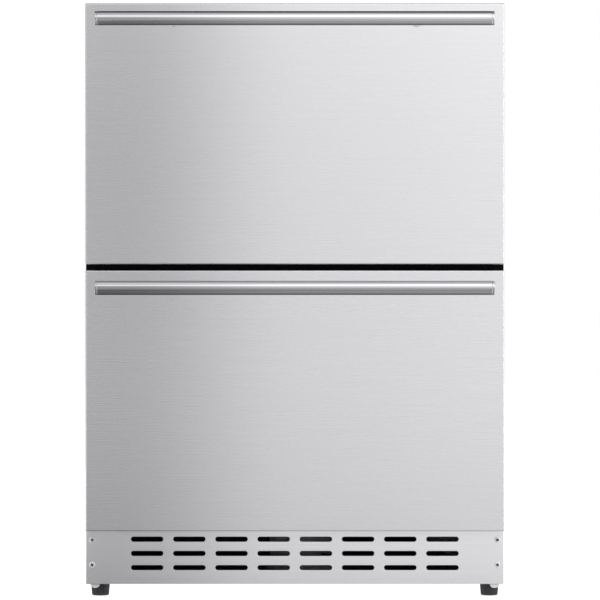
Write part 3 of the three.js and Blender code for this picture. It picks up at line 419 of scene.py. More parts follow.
def satin_metal(name, dark, light, roughness, metallic=1.0, scale=40, detail=6, bump=0.05):
    """Drawn metal or plating with a slightly uneven surface."""
    graph = Graph(name)
    tarnish = graph.noise(scale, detail)
    graph.fill(graph.shader, {
        "Metallic": metallic,
        "Base Color": graph.tint(tarnish, dark, light),
        "Roughness": graph.remap(tarnish, roughness, roughness + METAL_ROUGHNESS_SPREAD),
        "Normal": graph.bump(tarnish, bump),
    })
    return graph.material


def foam(name, dark, light, roughness):
    graph = Graph(name)
    broad = graph.noise(20, detail=4)
    graph.fill(graph.shader, {
        "Base Color": graph.tint(broad, dark, light),
        "Roughness": graph.remap(broad, *roughness),
        "Normal": graph.bump(graph.cells(700)["Distance"], 0.5, distance=0.0008),
    })
    return graph.material


BLACK_PAINT = {
    "dark": (0.014, 0.014, 0.015), "light": (0.02, 0.02, 0.021), "grain": 900, "bump": 0.25,
}
POLISHED = {"color": (0.79, 0.785, 0.82), "roughness": 0.15, "anisotropy": 0.3, "contrast": 0.01}
LOOKS = {
    "brushed_stainless": (brushed_steel, {
        "color": (0.787, 0.78, 0.803), "roughness": 0.26, "anisotropy": 1.0, "contrast": 0.012,
    }),
    # a lighter copy of the brushed steel for the kick plate, with a narrower blur; its lighter
    # colour is painted light
    "kick_stainless": (brushed_steel, {
        "color": (0.89, 0.885, 0.915), "roughness": 0.22, "anisotropy": 0.8, "contrast": 0.015,
    }),
    # the two bars' steels are lit and shaded copies, with painted shade by height
    "polished_stainless": (brushed_steel, {**POLISHED, "painted_shade_bands": BAR_PAINTED_SHADE["upper"]}),
    "lower_bar_stainless": (brushed_steel, {**POLISHED, "painted_shade_bands": BAR_PAINTED_SHADE["lower"]}),
    "galvanised": (galvanised_sheet, {
        "dark": (0.5, 0.52, 0.54), "light": (0.62, 0.64, 0.66), "roughness": (0.32, 0.5),
    }),
    # near white and hardly metallic: zinc plating, with a painted highlight in its colour
    "plated": (satin_metal, {
        "dark": (0.92, 0.93, 0.94), "light": (0.98, 0.985, 0.99), "roughness": 0.25,
        "metallic": 0.1, "scale": 120, "detail": 4, "bump": 0.08,
    }),
    "aluminium": (satin_metal, {
        "dark": (0.66, 0.67, 0.69), "light": (0.76, 0.77, 0.79), "roughness": 0.3,
    }),
    # near black: a black condenser, and painted shade behind the kick plate's slots
    "dull_aluminium": (satin_metal, {
        "dark": (0.05, 0.05, 0.05), "light": (0.12, 0.12, 0.12), "roughness": 0.5,
    }),
    "copper": (satin_metal, {
        "dark": (0.48, 0.22, 0.12), "light": (0.72, 0.38, 0.24), "roughness": 0.22,
    }),
    "black_paint": (textured, {**BLACK_PAINT, "roughness": 0.4}),
    # black paint with painted shade on the cabinet's front flange
    "cabinet_paint": (cabinet_paint, {
        **BLACK_PAINT, "shadow": (0.004, 0.004, 0.005), "roughness": (0.47, 0.52),
    }),
    # near black and barely reflecting: painted shade on the mullion, the bottom rail and in the
    # screws' recesses
    "flat_black": (textured, {
        "dark": (0.003, 0.003, 0.004), "light": (0.005, 0.005, 0.006), "roughness": 0.6,
        "grain": 900, "bump": 0.2, "specular": 0.12,
    }),
    "white_plastic": (textured, {
        "dark": (0.78, 0.79, 0.8), "light": (0.82, 0.83, 0.84), "roughness": 0.34,
        "grain": 500, "bump": 0.05,
    }),
    "black_plastic": (textured, {
        "dark": (0.02, 0.02, 0.02), "light": (0.03, 0.03, 0.03), "roughness": 0.55,
        "grain": 1600, "bump": 0.3,
    }),
    "black_rubber": (textured, {
        "dark": (0.016, 0.016, 0.017), "light": (0.026, 0.026, 0.027), "roughness": 0.7,
        "grain": 1200, "bump": 0.2,
    }),
    "lamp_lens": (textured, {
        "dark": (0.84, 0.86, 0.88), "light": (0.9, 0.92, 0.94), "roughness": 0.22,
        "grain": 1500, "bump": 0.15,
    }),
    "foam": (foam, {
        "dark": (0.68, 0.56, 0.3), "light": (0.82, 0.72, 0.45), "roughness": (0.85, 0.95),
    }),
}
finishes = {name: make(name, **look) for name, (make, look) in LOOKS.items()}

# Finishes of single nodes that differ from the rest of their slot.
NODE_FINISHES = {
    "mullion": "flat_black",  # painted shade, for the shade between the drawers
    # painted shade, below the lower drawer
    "bottom_rail": "flat_black",
    # near black: a black condenser, and painted shade behind the kick plate's slots
    "condenser": "dull_aluminium",
    # the wrapper's paint carries painted shade on its front flange
    "outer_wrapper": "cabinet_paint",
}

# ---------------------------------------------------------------- mesh building

AXES = {
    "x": lambda u, v, along: (along, u, v),
    "y": lambda u, v, along: (u, along, v),
    "z": lambda u, v, along: (u, v, along),
}


def rounded_rectangle(us, vs, radius, steps=6):
    """Points of a rectangle with round corners, in one direction round it."""
    radius = max(radius, TIGHTEST_CORNER)
    centres = [
        (us[1] - radius, vs[1] - radius), (us[0] + radius, vs[1] - radius),
        (us[0] + radius, vs[0] + radius), (us[1] - radius, vs[0] + radius),
    ]
    points = []
    for quarter, (u, v) in enumerate(centres):
        for i in range(steps + 1):
            angle = (quarter + i / steps) * math.pi / 2
            points.append((u + radius * math.cos(angle), v + radius * math.sin(angle)))
    return points


def obround(u, v, length, height, steps=8):
    """Points of a slot with round ends, longer along u."""
    reach = (length - height) / 2
    radius = height / 2
    points = []
    for side, turn in ((1, -math.pi / 2), (-1, math.pi / 2)):
        for i in range(steps + 1):
            angle = turn + i / steps * math.pi
            points.append((
                u + side * reach + radius * math.cos(angle), v + radius * math.sin(angle),
            ))
    return points


def ring(bm, axis, points, along):
    return [bm.verts.new(AXES[axis](u, v, along)) for u, v in points]


def band(bm, near, far):
    """Faces between two rings with the same count of points; a ring of one point is a tip."""
    count = max(len(near), len(far))
    for i in range(count):
        j = (i + 1) % count
        corners = (
            near[i % len(near)], near[j % len(near)], far[j % len(far)], far[i % len(far)],
        )
        bm.faces.new(dict.fromkeys(corners))


def skin(bm, rings, closed=False):
    """Faces over a chain of rings. Its ends are filled, or the last ring meets the first."""
    for near, far in zip(rings, rings[1:]):
        band(bm, near, far)
    if closed:
        band(bm, rings[-1], rings[0])
        return
    for end in (rings[0], rings[-1]):
        if len(end) > 2:
            bm.faces.new(end)


def turned(bm, axis, centre, profile, sides=48, closed=False):
    """Turns (radius, along) points round an axis through centre, given across the axis."""
    rings = []
    for radius, along in profile:
        count = sides if radius > 0 else 1
        angles = [2 * math.pi * i / count for i in range(count)]
        points = [
            (centre[0] + radius * math.cos(a), centre[1] + radius * math.sin(a)) for a in angles
        ]
        rings.append(ring(bm, axis, points, along))
    skin(bm, rings, closed)


def block(bm, xs, ys, zs):
    outline = [(xs[1], ys[1]), (xs[0], ys[1]), (xs[0], ys[0]), (xs[1], ys[0])]
    skin(bm, [ring(bm, "z", outline, z) for z in zs])


def quarter_round(radius, steps=4):
    """(depth, inset) from an edge's start on a face to its end on the side."""
    angles = [i / steps * math.pi / 2 for i in range(steps + 1)]
    return [(radius * (1 - math.cos(a)), radius * (1 - math.sin(a))) for a in angles]


def shade_edges(mesh, smooth_below):
    mesh.shade_smooth()
    mesh.set_sharp_from_angle(angle=math.radians(smooth_below))


def mesh_from(bm, name, smooth_below=SMOOTH_BELOW):
    bmesh.ops.recalc_face_normals(bm, faces=bm.faces)
    mesh = bpy.data.meshes.new(name)
    bm.to_mesh(mesh)
    bm.free()
    shade_edges(mesh, smooth_below)
    return mesh


def cut_out(name, mesh, cutter_mesh, smooth_below=SMOOTH_BELOW):
    """The mesh with the cutter's solid taken away, under a new name."""
    whole = bpy.data.objects.new("whole", mesh)
    cutter = bpy.data.objects.new("cutter", cutter_mesh)
    for item in (whole, cutter):
        scene.collection.objects.link(item)
    boolean = whole.modifiers.new("cut", "BOOLEAN")
    boolean.operation = "DIFFERENCE"
    boolean.solver = "EXACT"
    boolean.object = cutter
    evaluated = whole.evaluated_get(bpy.context.evaluated_depsgraph_get())
    result = bpy.data.meshes.new_from_object(evaluated)
    for item in (whole, cutter):
        bpy.data.objects.remove(item)
    shade_edges(result, smooth_below)
    result.name = name
    return result


def flatten_faces(item):
    """Keeps large flat faces flat where they meet narrow rounded ones."""
    modifier = item.modifiers.new("flat_faces", "WEIGHTED_NORMAL")
    modifier.weight = 100
    modifier.keep_sharp = True


def add_piece(name, mesh, slot, body, stands_for=(), place=None, finish=None):
    """A piece on a body, in place of the nodes in stands_for. Its finish is its slot's, a given
    one, or those its mesh has already.
    """
    piece = bpy.data.objects.new(name, mesh)
    scene.collection.objects.link(piece)
    flatten_faces(piece)
    if not mesh.materials:
        mesh.materials.append(finishes[finish or slot])
    if place is not None:
        piece.matrix_world = place
    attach(piece, body)
    if stands_for:
        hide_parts(*stands_for)
    return piece


# ---------------------------------------------------------------- drawer fronts and handles


def front_pan(drawer):
    """Folded pan: flat face, rounded bends, deep sides and a narrow hem behind."""
    node = f"{drawer}_front_panel"
    low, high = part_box(node)
    chain = [(low.y + depth, inset) for depth, inset in quarter_round(FRONT_BEND)]
    chain += [(high.y - depth, inset) for depth, inset in reversed(quarter_round(HEM_BEND))]
    chain += [
        (high.y, HEM_WIDTH), (high.y - SHEET, HEM_WIDTH),
        (high.y - SHEET, SHEET), (low.y + SHEET, SHEET),
    ]
    bm = bmesh.new()
    rings = []
    for y, inset in chain:
        outline = rounded_rectangle(
            (low.x + inset, high.x - inset), (low.z + inset, high.z - inset), FRONT_CORNER - inset,
        )
        rings.append(ring(bm, "y", outline, y))
    skin(bm, rings)
    name = f"{drawer}_front_skin"
    add_piece(name, mesh_from(bm, name), "brushed_stainless", f"{drawer}_drawer", [node])


def handle_tube(end, radius, axis_at):
    """Hollow bar with chamfered ends."""
    bm = bmesh.new()
    turned(bm, "x", axis_at, [
        (radius - BAR_CHAMFER, -end), (radius, BAR_CHAMFER - end),
        (radius, end - BAR_CHAMFER), (radius - BAR_CHAMFER, end),
        (radius - BAR_WALL, end), (radius - BAR_WALL, -end),
    ], sides=BAR_SIDES, closed=True)
    return mesh_from(bm, "bar")


def handle_posts(root, face, height):
    """The two posts, from inside the bar to the drawer's face, each with a filleted collar."""
    collar = face - COLLAR_DEPTH
    profile = [(0, root), (POST_RADIUS, root)]
    for depth, inset in quarter_round(COLLAR_FILLET):
        profile.append((POST_RADIUS + COLLAR_FILLET - inset, collar - COLLAR_FILLET + depth))
    profile += [
        (COLLAR_RADIUS - BAR_CHAMFER, collar), (COLLAR_RADIUS, collar + BAR_CHAMFER),
        (COLLAR_RADIUS, face), (0, face),
    ]
    bm = bmesh.new()
    for x in (-POST_X, POST_X):
        turned(bm, "y", (x, height), profile)
    return mesh_from(bm, "posts")


def handle(drawer):
    """Bar and posts. Like the plugs, they don't show in reflections: the drawer's face is plain."""
    node = f"{drawer}_handle"
    low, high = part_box(node)
    radius = (high.z - low.z) / 2
    axis_at = (low.y + radius, (low.z + high.z) / 2)
    tube = handle_tube(high.x, radius, axis_at)
    posts = handle_posts(axis_at[0] + radius / 2, high.y, axis_at[1])
    # the bar takes its steel with painted shade by height; the posts take plain brushed steel
    for name, mesh, finish in (
        (f"{node}_bar", tube, BAR_FINISH[drawer]),
        (f"{node}_posts", posts, "brushed_stainless"),
    ):
        piece = add_piece(
            name, mesh, "polished_stainless", f"{drawer}_drawer", [node], finish=finish,
        )
        piece.visible_glossy = False


def handle_end(drawer, side):
    """Domed plug in the end of the bar."""
    node = f"{drawer}_handle_cap_{side}"
    low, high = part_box(node)
    outward = -1 if side == "left" else 1
    tip = low.x if outward < 0 else high.x
    root = high.x if outward < 0 else low.x
    rim = outward * (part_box(f"{drawer}_handle")[1].x + CAP_GAP)
    radius = (high.z - low.z) / 2
    spigot = radius - BAR_WALL - CAP_PLAY
    profile = [(0, tip), (radius / 2, tip - outward * CAP_DOME * CAP_CURVE)]
    for depth, inset in quarter_round(CAP_ROUND):
        profile.append((radius - inset, tip - outward * (CAP_DOME + depth)))
    profile += [
        (radius, rim + outward * CAP_PLAY), (radius - CAP_PLAY, rim),
        (spigot, rim), (spigot, root), (0, root),
    ]
    bm = bmesh.new()
    axis_at = ((low.y + high.y) / 2, (low.z + high.z) / 2)
    turned(bm, "x", axis_at, profile, sides=BAR_SIDES)
    name = f"{drawer}_handle_end_{side}"
    # the plug takes its bar's steel, with the same painted shade by height
    plug = add_piece(
        name, mesh_from(bm, name), "polished_stainless", f"{drawer}_drawer", [node],
        finish=BAR_FINISH[drawer],
    )
    plug.visible_glossy = False


# ---------------------------------------------------------------- drawer insides


def gasket_seal(drawer):
    """Magnetic seal with a folded bellows and a rounded lip, mitred at the corners."""
    node = f"{drawer}_gasket"
    low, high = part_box(node)
    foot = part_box(f"{drawer}_front_panel")[1].y
    depth = high.y - foot
    profile = [(out * GASKET_HALF, foot + back * depth) for out, back in GASKET_SECTION]
    profile += [(-out, y) for out, y in reversed(profile)]
    xs = (low.x + GASKET_HALF, high.x - GASKET_HALF)
    zs = (low.z + GASKET_HALF, high.z - GASKET_HALF)
    bm = bmesh.new()
    rings = []
    for side_x, side_z in ((0, 0), (1, 0), (1, 1), (0, 1)):
        out_x = 2 * side_x - 1
        out_z = 2 * side_z - 1
        rings.append([
            bm.verts.new((xs[side_x] + out * out_x, y, zs[side_z] + out * out_z))
            for out, y in profile
        ])
    skin(bm, rings, closed=True)
    name = f"{drawer}_gasket_seal"
    mesh = mesh_from(bm, name, smooth_below=50)
    add_piece(name, mesh, "black_rubber", f"{drawer}_drawer", [node])


def bin_slots(top, back):
    """The solids that cut the air slots out of a bin's back wall."""
    bm = bmesh.new()
    for i in range(BIN_SLOT_COUNT):
        x = (i - (BIN_SLOT_COUNT - 1) / 2) * BIN_SLOT_PITCH
        lying = obround(0, 0, BIN_SLOT_HEIGHT, BIN_SLOT_WIDTH)
        upright = [(x + v, top - BIN_SLOT_DROP + u) for u, v in lying]
        skin(bm, [ring(bm, "y", upright, y) for y in (back - 2 * BIN_WALL, back + BIN_WALL)])
    return mesh_from(bm, "bin_slots")


def storage_bin(drawer):
    """Open bin with a rounded floor edge, a rolled lip and air slots in its back wall."""
    node = f"{drawer}_bin"
    low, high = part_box(node)
    half = high.x - BIN_LIP
    back = high.y - BIN_LIP
    floor = low.z
    top = high.z
    lip = top - BIN_LIP_HEIGHT
    chain = [(floor + depth, inset) for depth, inset in quarter_round(BIN_FLOOR_EDGE, steps=6)]
    chain += [
        (lip - BIN_LIP_ROUND, 0), (lip, -BIN_LIP_ROUND),
        (lip, BIN_LIP_ROUND - BIN_LIP), (lip + BIN_LIP_ROUND, -BIN_LIP),
        (top - BIN_LIP_ROUND, -BIN_LIP), (top, BIN_LIP_ROUND - BIN_LIP),
        (top, BIN_WALL - BIN_LIP_ROUND), (top - BIN_LIP_ROUND, BIN_WALL),
    ]
    inner_edge = quarter_round(BIN_FLOOR_EDGE - BIN_WALL, steps=6)
    chain += [
        (floor + BIN_WALL + depth, BIN_WALL + inset) for depth, inset in reversed(inner_edge)
    ]
    bm = bmesh.new()
    rings = []
    for z, inset in chain:
        outline = rounded_rectangle(
            (-half + inset, half - inset), (low.y + max(inset, 0), back - inset),
            BIN_CORNER - inset, steps=8,
        )
        rings.append(ring(bm, "z", outline, z))
    skin(bm, rings)
    name = f"{drawer}_storage_bin"
    mesh = cut_out(name, mesh_from(bm, "closed_bin"), bin_slots(top, back))
    add_piece(name, mesh, "white_plastic", f"{drawer}_drawer", [node])


def slide_balls(drawer, side):
    """The rows of balls that the middle member runs on."""
    low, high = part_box(f"{drawer}_slide_middle_{side}")
    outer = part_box(f"{drawer}_slide_outer_{side}")
    x = outer[0].x + BALL_FROM_LINER if side == "left" else outer[1].x - BALL_FROM_LINER
    middle_y = (low.y + high.y) / 2
    middle_z = (low.z + high.z) / 2
    count = int((high.y - low.y) / 2 / BALL_PITCH)
    bm = bmesh.new()
    for z in (middle_z - BALL_ROW_Z, middle_z + BALL_ROW_Z):
        for i in range(count):
            place = Matrix.Translation((x, middle_y + (i + 0.5) * BALL_PITCH, z))
            bmesh.ops.create_uvsphere(
                bm, u_segments=12, v_segments=8, radius=BALL_RADIUS, matrix=place,
            )
    name = f"{drawer}_slide_balls_{side}"
    add_piece(name, mesh_from(bm, name, smooth_below=60), "galvanised", f"{drawer}_slides")


# ---------------------------------------------------------------- kick plate, screws and feet


def kick_plate():
    """Folded plate with rows of slots, all edges slightly rounded."""
    low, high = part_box("kick_plate")
    back = low.y + SHEET
    edge = quarter_round(SLOT_ROUND, steps=3)
    insets = [inset for _, inset in edge]
    bm = bmesh.new()

    def wall(outlines):
        """A wall through the sheet, from an outline at each inset; gives its two end rings."""
        rings = [ring(bm, "y", outline, low.y + step[0]) for outline, step in zip(outlines, edge)]
        rings.append(ring(bm, "y", outlines[-1], back))
        for near, far in zip(rings, rings[1:]):
            band(bm, near, far)
        return rings[0], rings[-1]

    walls = [wall([
        rounded_rectangle(
            (low.x + inset, high.x - inset), (low.z + inset, high.z - inset), SHEET - inset,
        ) for inset in insets
    ])]
    for column in range(SLOT_COLUMNS):
        x = (column - (SLOT_COLUMNS - 1) / 2) * SLOT_PITCH_X
        for z in SLOT_ROWS_Z:
            walls.append(wall([
                obround(x, z, SLOT_LENGTH + 2 * inset, SLOT_HEIGHT + 2 * inset)
                for inset in insets
            ]))
    for end in (0, 1):
        edges = []
        for rings in walls:
            loop = rings[end]
            edges += [bm.edges.get((a, b)) for a, b in zip(loop, loop[1:] + loop[:1])]
        bmesh.ops.triangle_fill(bm, edges=edges, use_beauty=True)
    across = (-KICK_RETURN_X, KICK_RETURN_X)
    block(bm, across, (back, high.y), (high.z - SHEET, high.z))
    block(bm, across, (back, low.y + KICK_RETURN_BOTTOM), (low.z, low.z + SHEET))
    # its steel is the lighter copy: painted light
    name = "kick_plate_sheet"
    add_piece(
        name, mesh_from(bm, name), "brushed_stainless", "cabinet", ["kick_plate"],
        finish="kick_stainless",
    )


def cross_outline(reach, half):
    """Points of an upright cross."""
    arm = [(reach, -half), (reach, half), (half, half)]
    points = []
    for cos, sin in ((1, 0), (0, 1), (-1, 0), (0, -1)):
        points += [(u * cos - v * sin, u * sin + v * cos) for u, v in arm]
    return points


def screw_mesh(radius, height):
    """Pan head with a cross recess painted near black as shade, its underside on z = 0 and its axis
    along +Z.
    """
    profile = [(0, 0), (radius * SCREW_FOOT, 0)]
    for i in range(SCREW_CROWN_STEPS):
        angle = i / SCREW_CROWN_STEPS * math.pi / 2
        level = SCREW_RIM + (1 - SCREW_RIM) * math.sin(angle)
        profile.append((radius * math.cos(angle), height * level))
    profile.append((0, height))
    bm = bmesh.new()
    turned(bm, "z", (0, 0), profile)
    cross = bmesh.new()
    skin(cross, [
        ring(cross, "z", cross_outline(radius * reach, radius * half), height * level)
        for reach, half, level in (
            (RECESS_FLOOR_REACH, RECESS_FLOOR_HALF, RECESS_FLOOR),
            (RECESS_REACH, RECESS_HALF, RECESS_TOP),
        )
    ])
    mesh = cut_out("screw", mesh_from(bm, "head"), mesh_from(cross, "cross"), smooth_below=40)
    # the head's near-white plating is partly a painted highlight
    for name in ("plated", "flat_black"):
        mesh.materials.append(finishes[name])
    # faces in the recess take the near-black finish: painted shade
    lowest, highest = (height * level for level in RECESS_LEVELS)
    for face in mesh.polygons:
        middle = face.center
        near = math.hypot(middle.x, middle.y) < radius * RECESS_REACH
        face.material_index = 1 if near and lowest < middle.z < highest else 0
    return mesh


def add_screws(name, mesh, places, facing):
    """Screws of the cabinet, each turned a little differently; their heads point along facing."""
    turn = Vector((0, 0, 1)).rotation_difference(Vector(facing)).to_matrix().to_4x4()
    for i, place in enumerate(places):
        spin = Matrix.Rotation(math.radians(SCREW_TURN + SCREW_TURN_STEP * i), 4, "Z")
        at = Matrix.Translation(place) @ turn @ spin
        add_piece(f"{name}_{i + 1}", mesh, "galvanised", "cabinet", place=at)


def kick_screws():
    face_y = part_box("kick_plate")[0].y
    places = [(x, face_y, z) for x in (-KICK_SCREW_X, KICK_SCREW_X) for z in KICK_SCREWS_Z]
    mesh = screw_mesh(KICK_SCREW_RADIUS, KICK_SCREW_HEIGHT)
    add_screws("kick_screw", mesh, places, (0, -1, 0))


def rear_screws():
    """Three rows on the back panel and on its cover; a middle row has its outer screws only."""
    mesh = screw_mesh(REAR_SCREW_RADIUS, REAR_SCREW_HEIGHT)
    panel_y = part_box("back_panel")[0].y + SHEET  # its flat face, from which the beads stand out
    outer = max(REAR_SCREWS_X)
    for name, y, rows in (
        ("back_screw", panel_y, BACK_SCREWS_Z),
        ("cover_screw", COVER_FACE_Y, COVER_SCREWS_Z),
    ):
        places = [
            (x, y, z) for z in rows for x in REAR_SCREWS_X if z != rows[1] or abs(x) == outer
        ]
        add_screws(name, mesh, places, (0, 1, 0))


def leg_bracket(side):
    """Plate with a welded nut for the front foot, and a rounded tab in front of it."""
    node = f"leg_bracket_{side}"
    low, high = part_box(node)
    foot_low, foot_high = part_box(f"foot_front_{side}")
    x = (foot_low.x + foot_high.x) / 2
    y = (foot_low.y + foot_high.y) / 2
    top = high.z - BRACKET_NUT
    plate = (top - BRACKET_SHEET, top)
    front = y - (high.y - y) - BRACKET_NOSE
    tab_x = math.copysign(LUG_X, x)
    across = (tab_x - LUG_HALF, tab_x + LUG_HALF)
    tab = [(across[1], top), (across[0], top)]
    for i in range(LUG_STEPS + 1):
        angle = (1 + i / LUG_STEPS) * math.pi
        tab.append((
            tab_x + LUG_HALF * math.cos(angle),
            LUG_BOTTOM + LUG_ROUND + LUG_ROUND * math.sin(angle),
        ))
    hexagon = []
    for i in range(6):
        angle = i * math.pi / 3
        hexagon.append((x + BRACKET_NUT * math.cos(angle), y + BRACKET_NUT * math.sin(angle)))
    bm = bmesh.new()
    block(bm, (low.x, high.x), (front, high.y), plate)
    block(bm, across, (low.y + BRACKET_SHEET, front), plate)
    skin(bm, [ring(bm, "y", tab, face) for face in (low.y, low.y + BRACKET_SHEET)])
    skin(bm, [ring(bm, "z", hexagon, face) for face in (top, high.z)])
    hole = bmesh.new()
    ends = (0, 2 * high.z)
    hole_profile = [(0, ends[0]), (STUD_HOLE, ends[0]), (STUD_HOLE, ends[1]), (0, ends[1])]
    turned(hole, "z", (x, y), hole_profile, sides=HOLE_SIDES)
    name = f"{node}_plate"
    mesh = cut_out(name, mesh_from(bm, "whole_plate"), mesh_from(hole, "hole"))
    # its near-white plating is partly a painted highlight
    add_piece(name, mesh, "galvanised", "cabinet", [node], finish="plated")


def levelling_foot(corner):
    """Ribbed glide with a smooth collar, on a threaded stud."""
    node = f"foot_{corner}"
    low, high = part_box(node)
    x = (low.x + high.x) / 2
    y = (low.y + high.y) / 2
    collar_radius = (high.x - low.x) / 2
    sole_radius = collar_radius - FOOT_TAPER
    collar = FOOT_HEIGHT - FOOT_COLLAR

    def ribbed(radius, depth):
        points = []
        count = FOOT_RIB_STEPS * FOOT_RIBS
        for i in range(count):
            angle = 2 * math.pi * i / count
            groove = max(0.0, math.cos(FOOT_RIBS * angle)) ** FOOT_RIB_SHAPE
            reach = radius - depth * groove
            points.append((x + reach * math.cos(angle), y + reach * math.sin(angle)))
        return points

    stations = [(z, sole_radius - inset, 0) for z, inset in SOLE_EDGE]
    stations += [
        (FOOT_RIBS_START, sole_radius, FOOT_RIB_DEPTH),
        (collar - FOOT_EDGE, collar_radius - FOOT_STEP, FOOT_RIB_DEPTH),
        (collar - FOOT_STEP, collar_radius, 0),
        (FOOT_HEIGHT - FOOT_EDGE, collar_radius, 0),
        (FOOT_HEIGHT, collar_radius - FOOT_EDGE, 0),
    ]
    bm = bmesh.new()
    skin(bm, [ring(bm, "z", ribbed(radius, depth), z) for z, radius, depth in stations])
    core = STUD_RADIUS - THREAD_DEPTH
    root = FOOT_HEIGHT - STUD_ROOT
    thread = [(0, root), (core, root)]
    for i in range(int((high.z - FOOT_HEIGHT) / THREAD_PITCH)):
        crest = FOOT_HEIGHT + (i + 0.5) * THREAD_PITCH
        thread += [(STUD_RADIUS, crest), (core, crest + THREAD_PITCH / 2)]
    thread.append((0, thread[-1][1]))
    turned(bm, "z", (x, y), thread, sides=STUD_SIDES)
    name = f"{node}_glide"
    add_piece(name, mesh_from(bm, name, smooth_below=30), "black_plastic", node, [node])


# ---------------------------------------------------------------- CAD nodes that stay


def smooth_bends():
    """A modifier's node tree that joins split corners and shades gentle bends smoothly."""
    tree = bpy.data.node_groups.new("smooth_bends", "GeometryNodeTree")
    for direction in ("INPUT", "OUTPUT"):
        tree.interface.new_socket(
            "Geometry", in_out=direction, socket_type="NodeSocketGeometry",
        )
    source = tree.nodes.new("NodeGroupInput")
    weld = tree.nodes.new("GeometryNodeMergeByDistance")
    weld.inputs["Distance"].default_value = CAD_WELD
    forget = tree.nodes.new("GeometryNodeRemoveAttribute")
    forget.inputs["Name"].default_value = "custom_normal"
    smooth = tree.nodes.new("GeometryNodeSetShadeSmooth")
    angle = tree.nodes.new("GeometryNodeInputMeshEdgeAngle")
    sharper = tree.nodes.new("FunctionNodeCompare")
    sharper.operation = "GREATER_THAN"
    sharper.inputs[1].default_value = math.radians(CAD_SMOOTH_BELOW)
    sharp = tree.nodes.new("GeometryNodeSetShadeSmooth")
    sharp.domain = "EDGE"
    sharp.inputs["Shade Smooth"].default_value = False
    sink = tree.nodes.new("NodeGroupOutput")
    link = tree.links.new
    link(source.outputs[0], weld.inputs["Geometry"])
    link(weld.outputs[0], forget.inputs["Geometry"])
    link(forget.outputs[0], smooth.inputs["Geometry"])
    link(smooth.outputs[0], sharp.inputs["Geometry"])
    link(angle.outputs["Unsigned Angle"], sharper.inputs[0])
    link(sharper.outputs[0], sharp.inputs["Selection"])
    link(sharp.outputs[0], sink.inputs[0])
    return tree


def finish_cad_nodes():
    tree = smooth_bends()
    slots = {part["node"]: part["material_slot"] for part in frame["record"]["subparts"]}
    for name, node in frame["nodes"].items():
        for material_slot in node.material_slots:
            material_slot.material = finishes[NODE_FINISHES.get(name, slots[name])]
        node.modifiers.new("smooth_bends", "NODES").node_group = tree
        flatten_faces(node)


# ---------------------------------------------------------------- studio


def floor_material(name):
    graph = Graph(name)
    graph.fill(graph.shader, {
        "Base Color": (*FLOOR_GREY, 1), "Roughness": FLOOR_ROUGHNESS,
        "Emission Color": (*FLOOR_GREY, 1), "Emission Strength": FLOOR_GLOW,
    })
    return graph.material


def glow_material(name, second_axis, side, everywhere):
    """Light whose strength changes with the place on its plane.

    The strength is a sum of smooth steps (from, to, amount). SIDE_STEPS go along X; they are
    multiplied by the side value and its steps. The value and the steps of everywhere are added.
    The steps of side and everywhere go along the second axis.
    """
    graph = Graph(name)
    place = graph.axes("Object")

    def combine(first, second, operation):
        return graph.add("ShaderNodeMath", {0: first, 1: second}, operation=operation).outputs[0]

    def total(axis, value, steps):
        for start, end, amount in steps:
            step = graph.add("ShaderNodeMapRange", {
                "Value": place[axis], "From Min": start, "From Max": end,
                "To Min": 0.0, "To Max": amount,
            }, interpolation_type="SMOOTHSTEP")
            value = combine(step.outputs["Result"], value, "ADD")
        return value

    sideways = combine(total("X", 0.0, SIDE_STEPS), total(second_axis, *side), "MULTIPLY")
    graph.fill(graph.shader, {
        "Base Color": (0, 0, 0, 1), "Specular IOR Level": 0.0, "Emission Color": (1, 1, 1, 1),
        "Emission Strength": combine(sideways, total(second_axis, *everywhere), "ADD"),
    })
    return graph.material


def stage_plane(name, corners, material):
    """A plane through four corners, given row by row."""
    bm = bmesh.new()
    first, second, third, fourth = (bm.verts.new(corner) for corner in corners)
    bm.faces.new((first, second, fourth, third))
    plane = bpy.data.objects.new(name, mesh_from(bm, name))
    plane.data.materials.append(material)
    scene.collection.objects.link(plane)
    return plane


def light_plane(name, corners, material):
    """A glowing plane that the camera doesn't see and that casts no shadow."""
    plane = stage_plane(name, corners, material)
    plane.visible_camera = False
    plane.visible_shadow = False


def softbox(name, place, target, size, power):
    """An area light that the camera doesn't see."""
    light = bpy.data.lights.new(name, "AREA")
    light.shape = "RECTANGLE"
    light.size, light.size_y = size
    light.energy = power
    box = bpy.data.objects.new(name, light)
    box.location = place
    box.rotation_euler = (Vector(target) - Vector(place)).to_track_quat("-Z", "Y").to_euler()
    box.visible_camera = False
    scene.collection.objects.link(box)


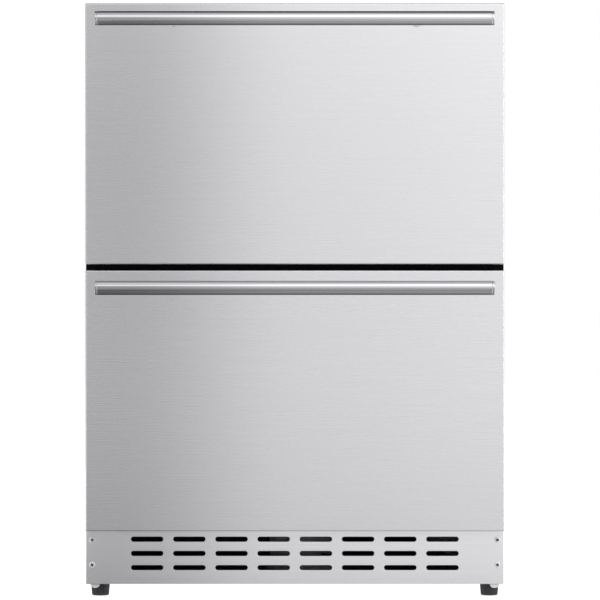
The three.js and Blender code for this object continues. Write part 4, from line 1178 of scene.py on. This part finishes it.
def make_world():
    """White behind the object for the camera; a grey, darker behind the object, that lights it."""
    world = bpy.data.worlds.new("studio")
    world.use_nodes = True
    tree = world.node_tree
    tree.nodes.clear()
    coordinates = tree.nodes.new("ShaderNodeTexCoord")
    direction = tree.nodes.new("ShaderNodeSeparateXYZ")
    fade = tree.nodes.new("ShaderNodeMapRange")
    fade.interpolation_type = "SMOOTHSTEP"
    fade.inputs["From Min"].default_value = WORLD_FADE[0]
    fade.inputs["From Max"].default_value = WORLD_FADE[1]
    fade.inputs["To Min"].default_value = WORLD_FRONT
    fade.inputs["To Max"].default_value = WORLD_BACK
    around = tree.nodes.new("ShaderNodeBackground")
    around.inputs["Color"].default_value = (1, 1, 1, 1)
    backdrop = tree.nodes.new("ShaderNodeBackground")
    backdrop.inputs["Color"].default_value = (WORLD_SEEN, WORLD_SEEN, WORLD_SEEN, 1)
    path = tree.nodes.new("ShaderNodeLightPath")
    mix = tree.nodes.new("ShaderNodeMixShader")
    out = tree.nodes.new("ShaderNodeOutputWorld")
    link = tree.links.new
    link(coordinates.outputs["Generated"], direction.inputs[0])
    link(direction.outputs["Y"], fade.inputs["Value"])
    link(fade.outputs["Result"], around.inputs["Strength"])
    link(path.outputs["Is Camera Ray"], mix.inputs["Fac"])
    link(around.outputs[0], mix.inputs[1])
    link(backdrop.outputs[0], mix.inputs[2])
    link(mix.outputs[0], out.inputs["Surface"])
    scene.world = world


def make_studio():
    scene.view_settings.view_transform = "Standard"
    make_world()
    ends = (-FLOOR_HALF, FLOOR_HALF)
    stage_plane("floor", [(x, y, 0) for y in ends for x in ends], floor_material("pale_floor"))
    light_plane(
        "screen", [(x, SCREEN_Y, z) for z in SCREEN_Z for x in SCREEN_X],
        glow_material("screen_glow", "Z", SCREEN_SIDE, SCREEN_ALL),
    )
    light_plane(
        "floor_card", [(x, y, CARD_Z) for y in CARD_Y for x in CARD_X],
        glow_material("card_glow", "Y", CARD_SIDE, CARD_ALL),
    )
    for settings in SOFTBOXES:
        softbox(*settings)


# ---------------------------------------------------------------- the object

make_camera()
finish_cad_nodes()
for drawer in ("upper", "lower"):
    front_pan(drawer)
    handle(drawer)
    gasket_seal(drawer)
    storage_bin(drawer)
    for side in ("left", "right"):
        handle_end(drawer, side)
        slide_balls(drawer, side)
kick_plate()
for side in ("left", "right"):
    leg_bracket(side)
for corner in ("front_left", "front_right", "rear_left", "rear_right"):
    levelling_foot(corner)
kick_screws()
rear_screws()
make_studio()
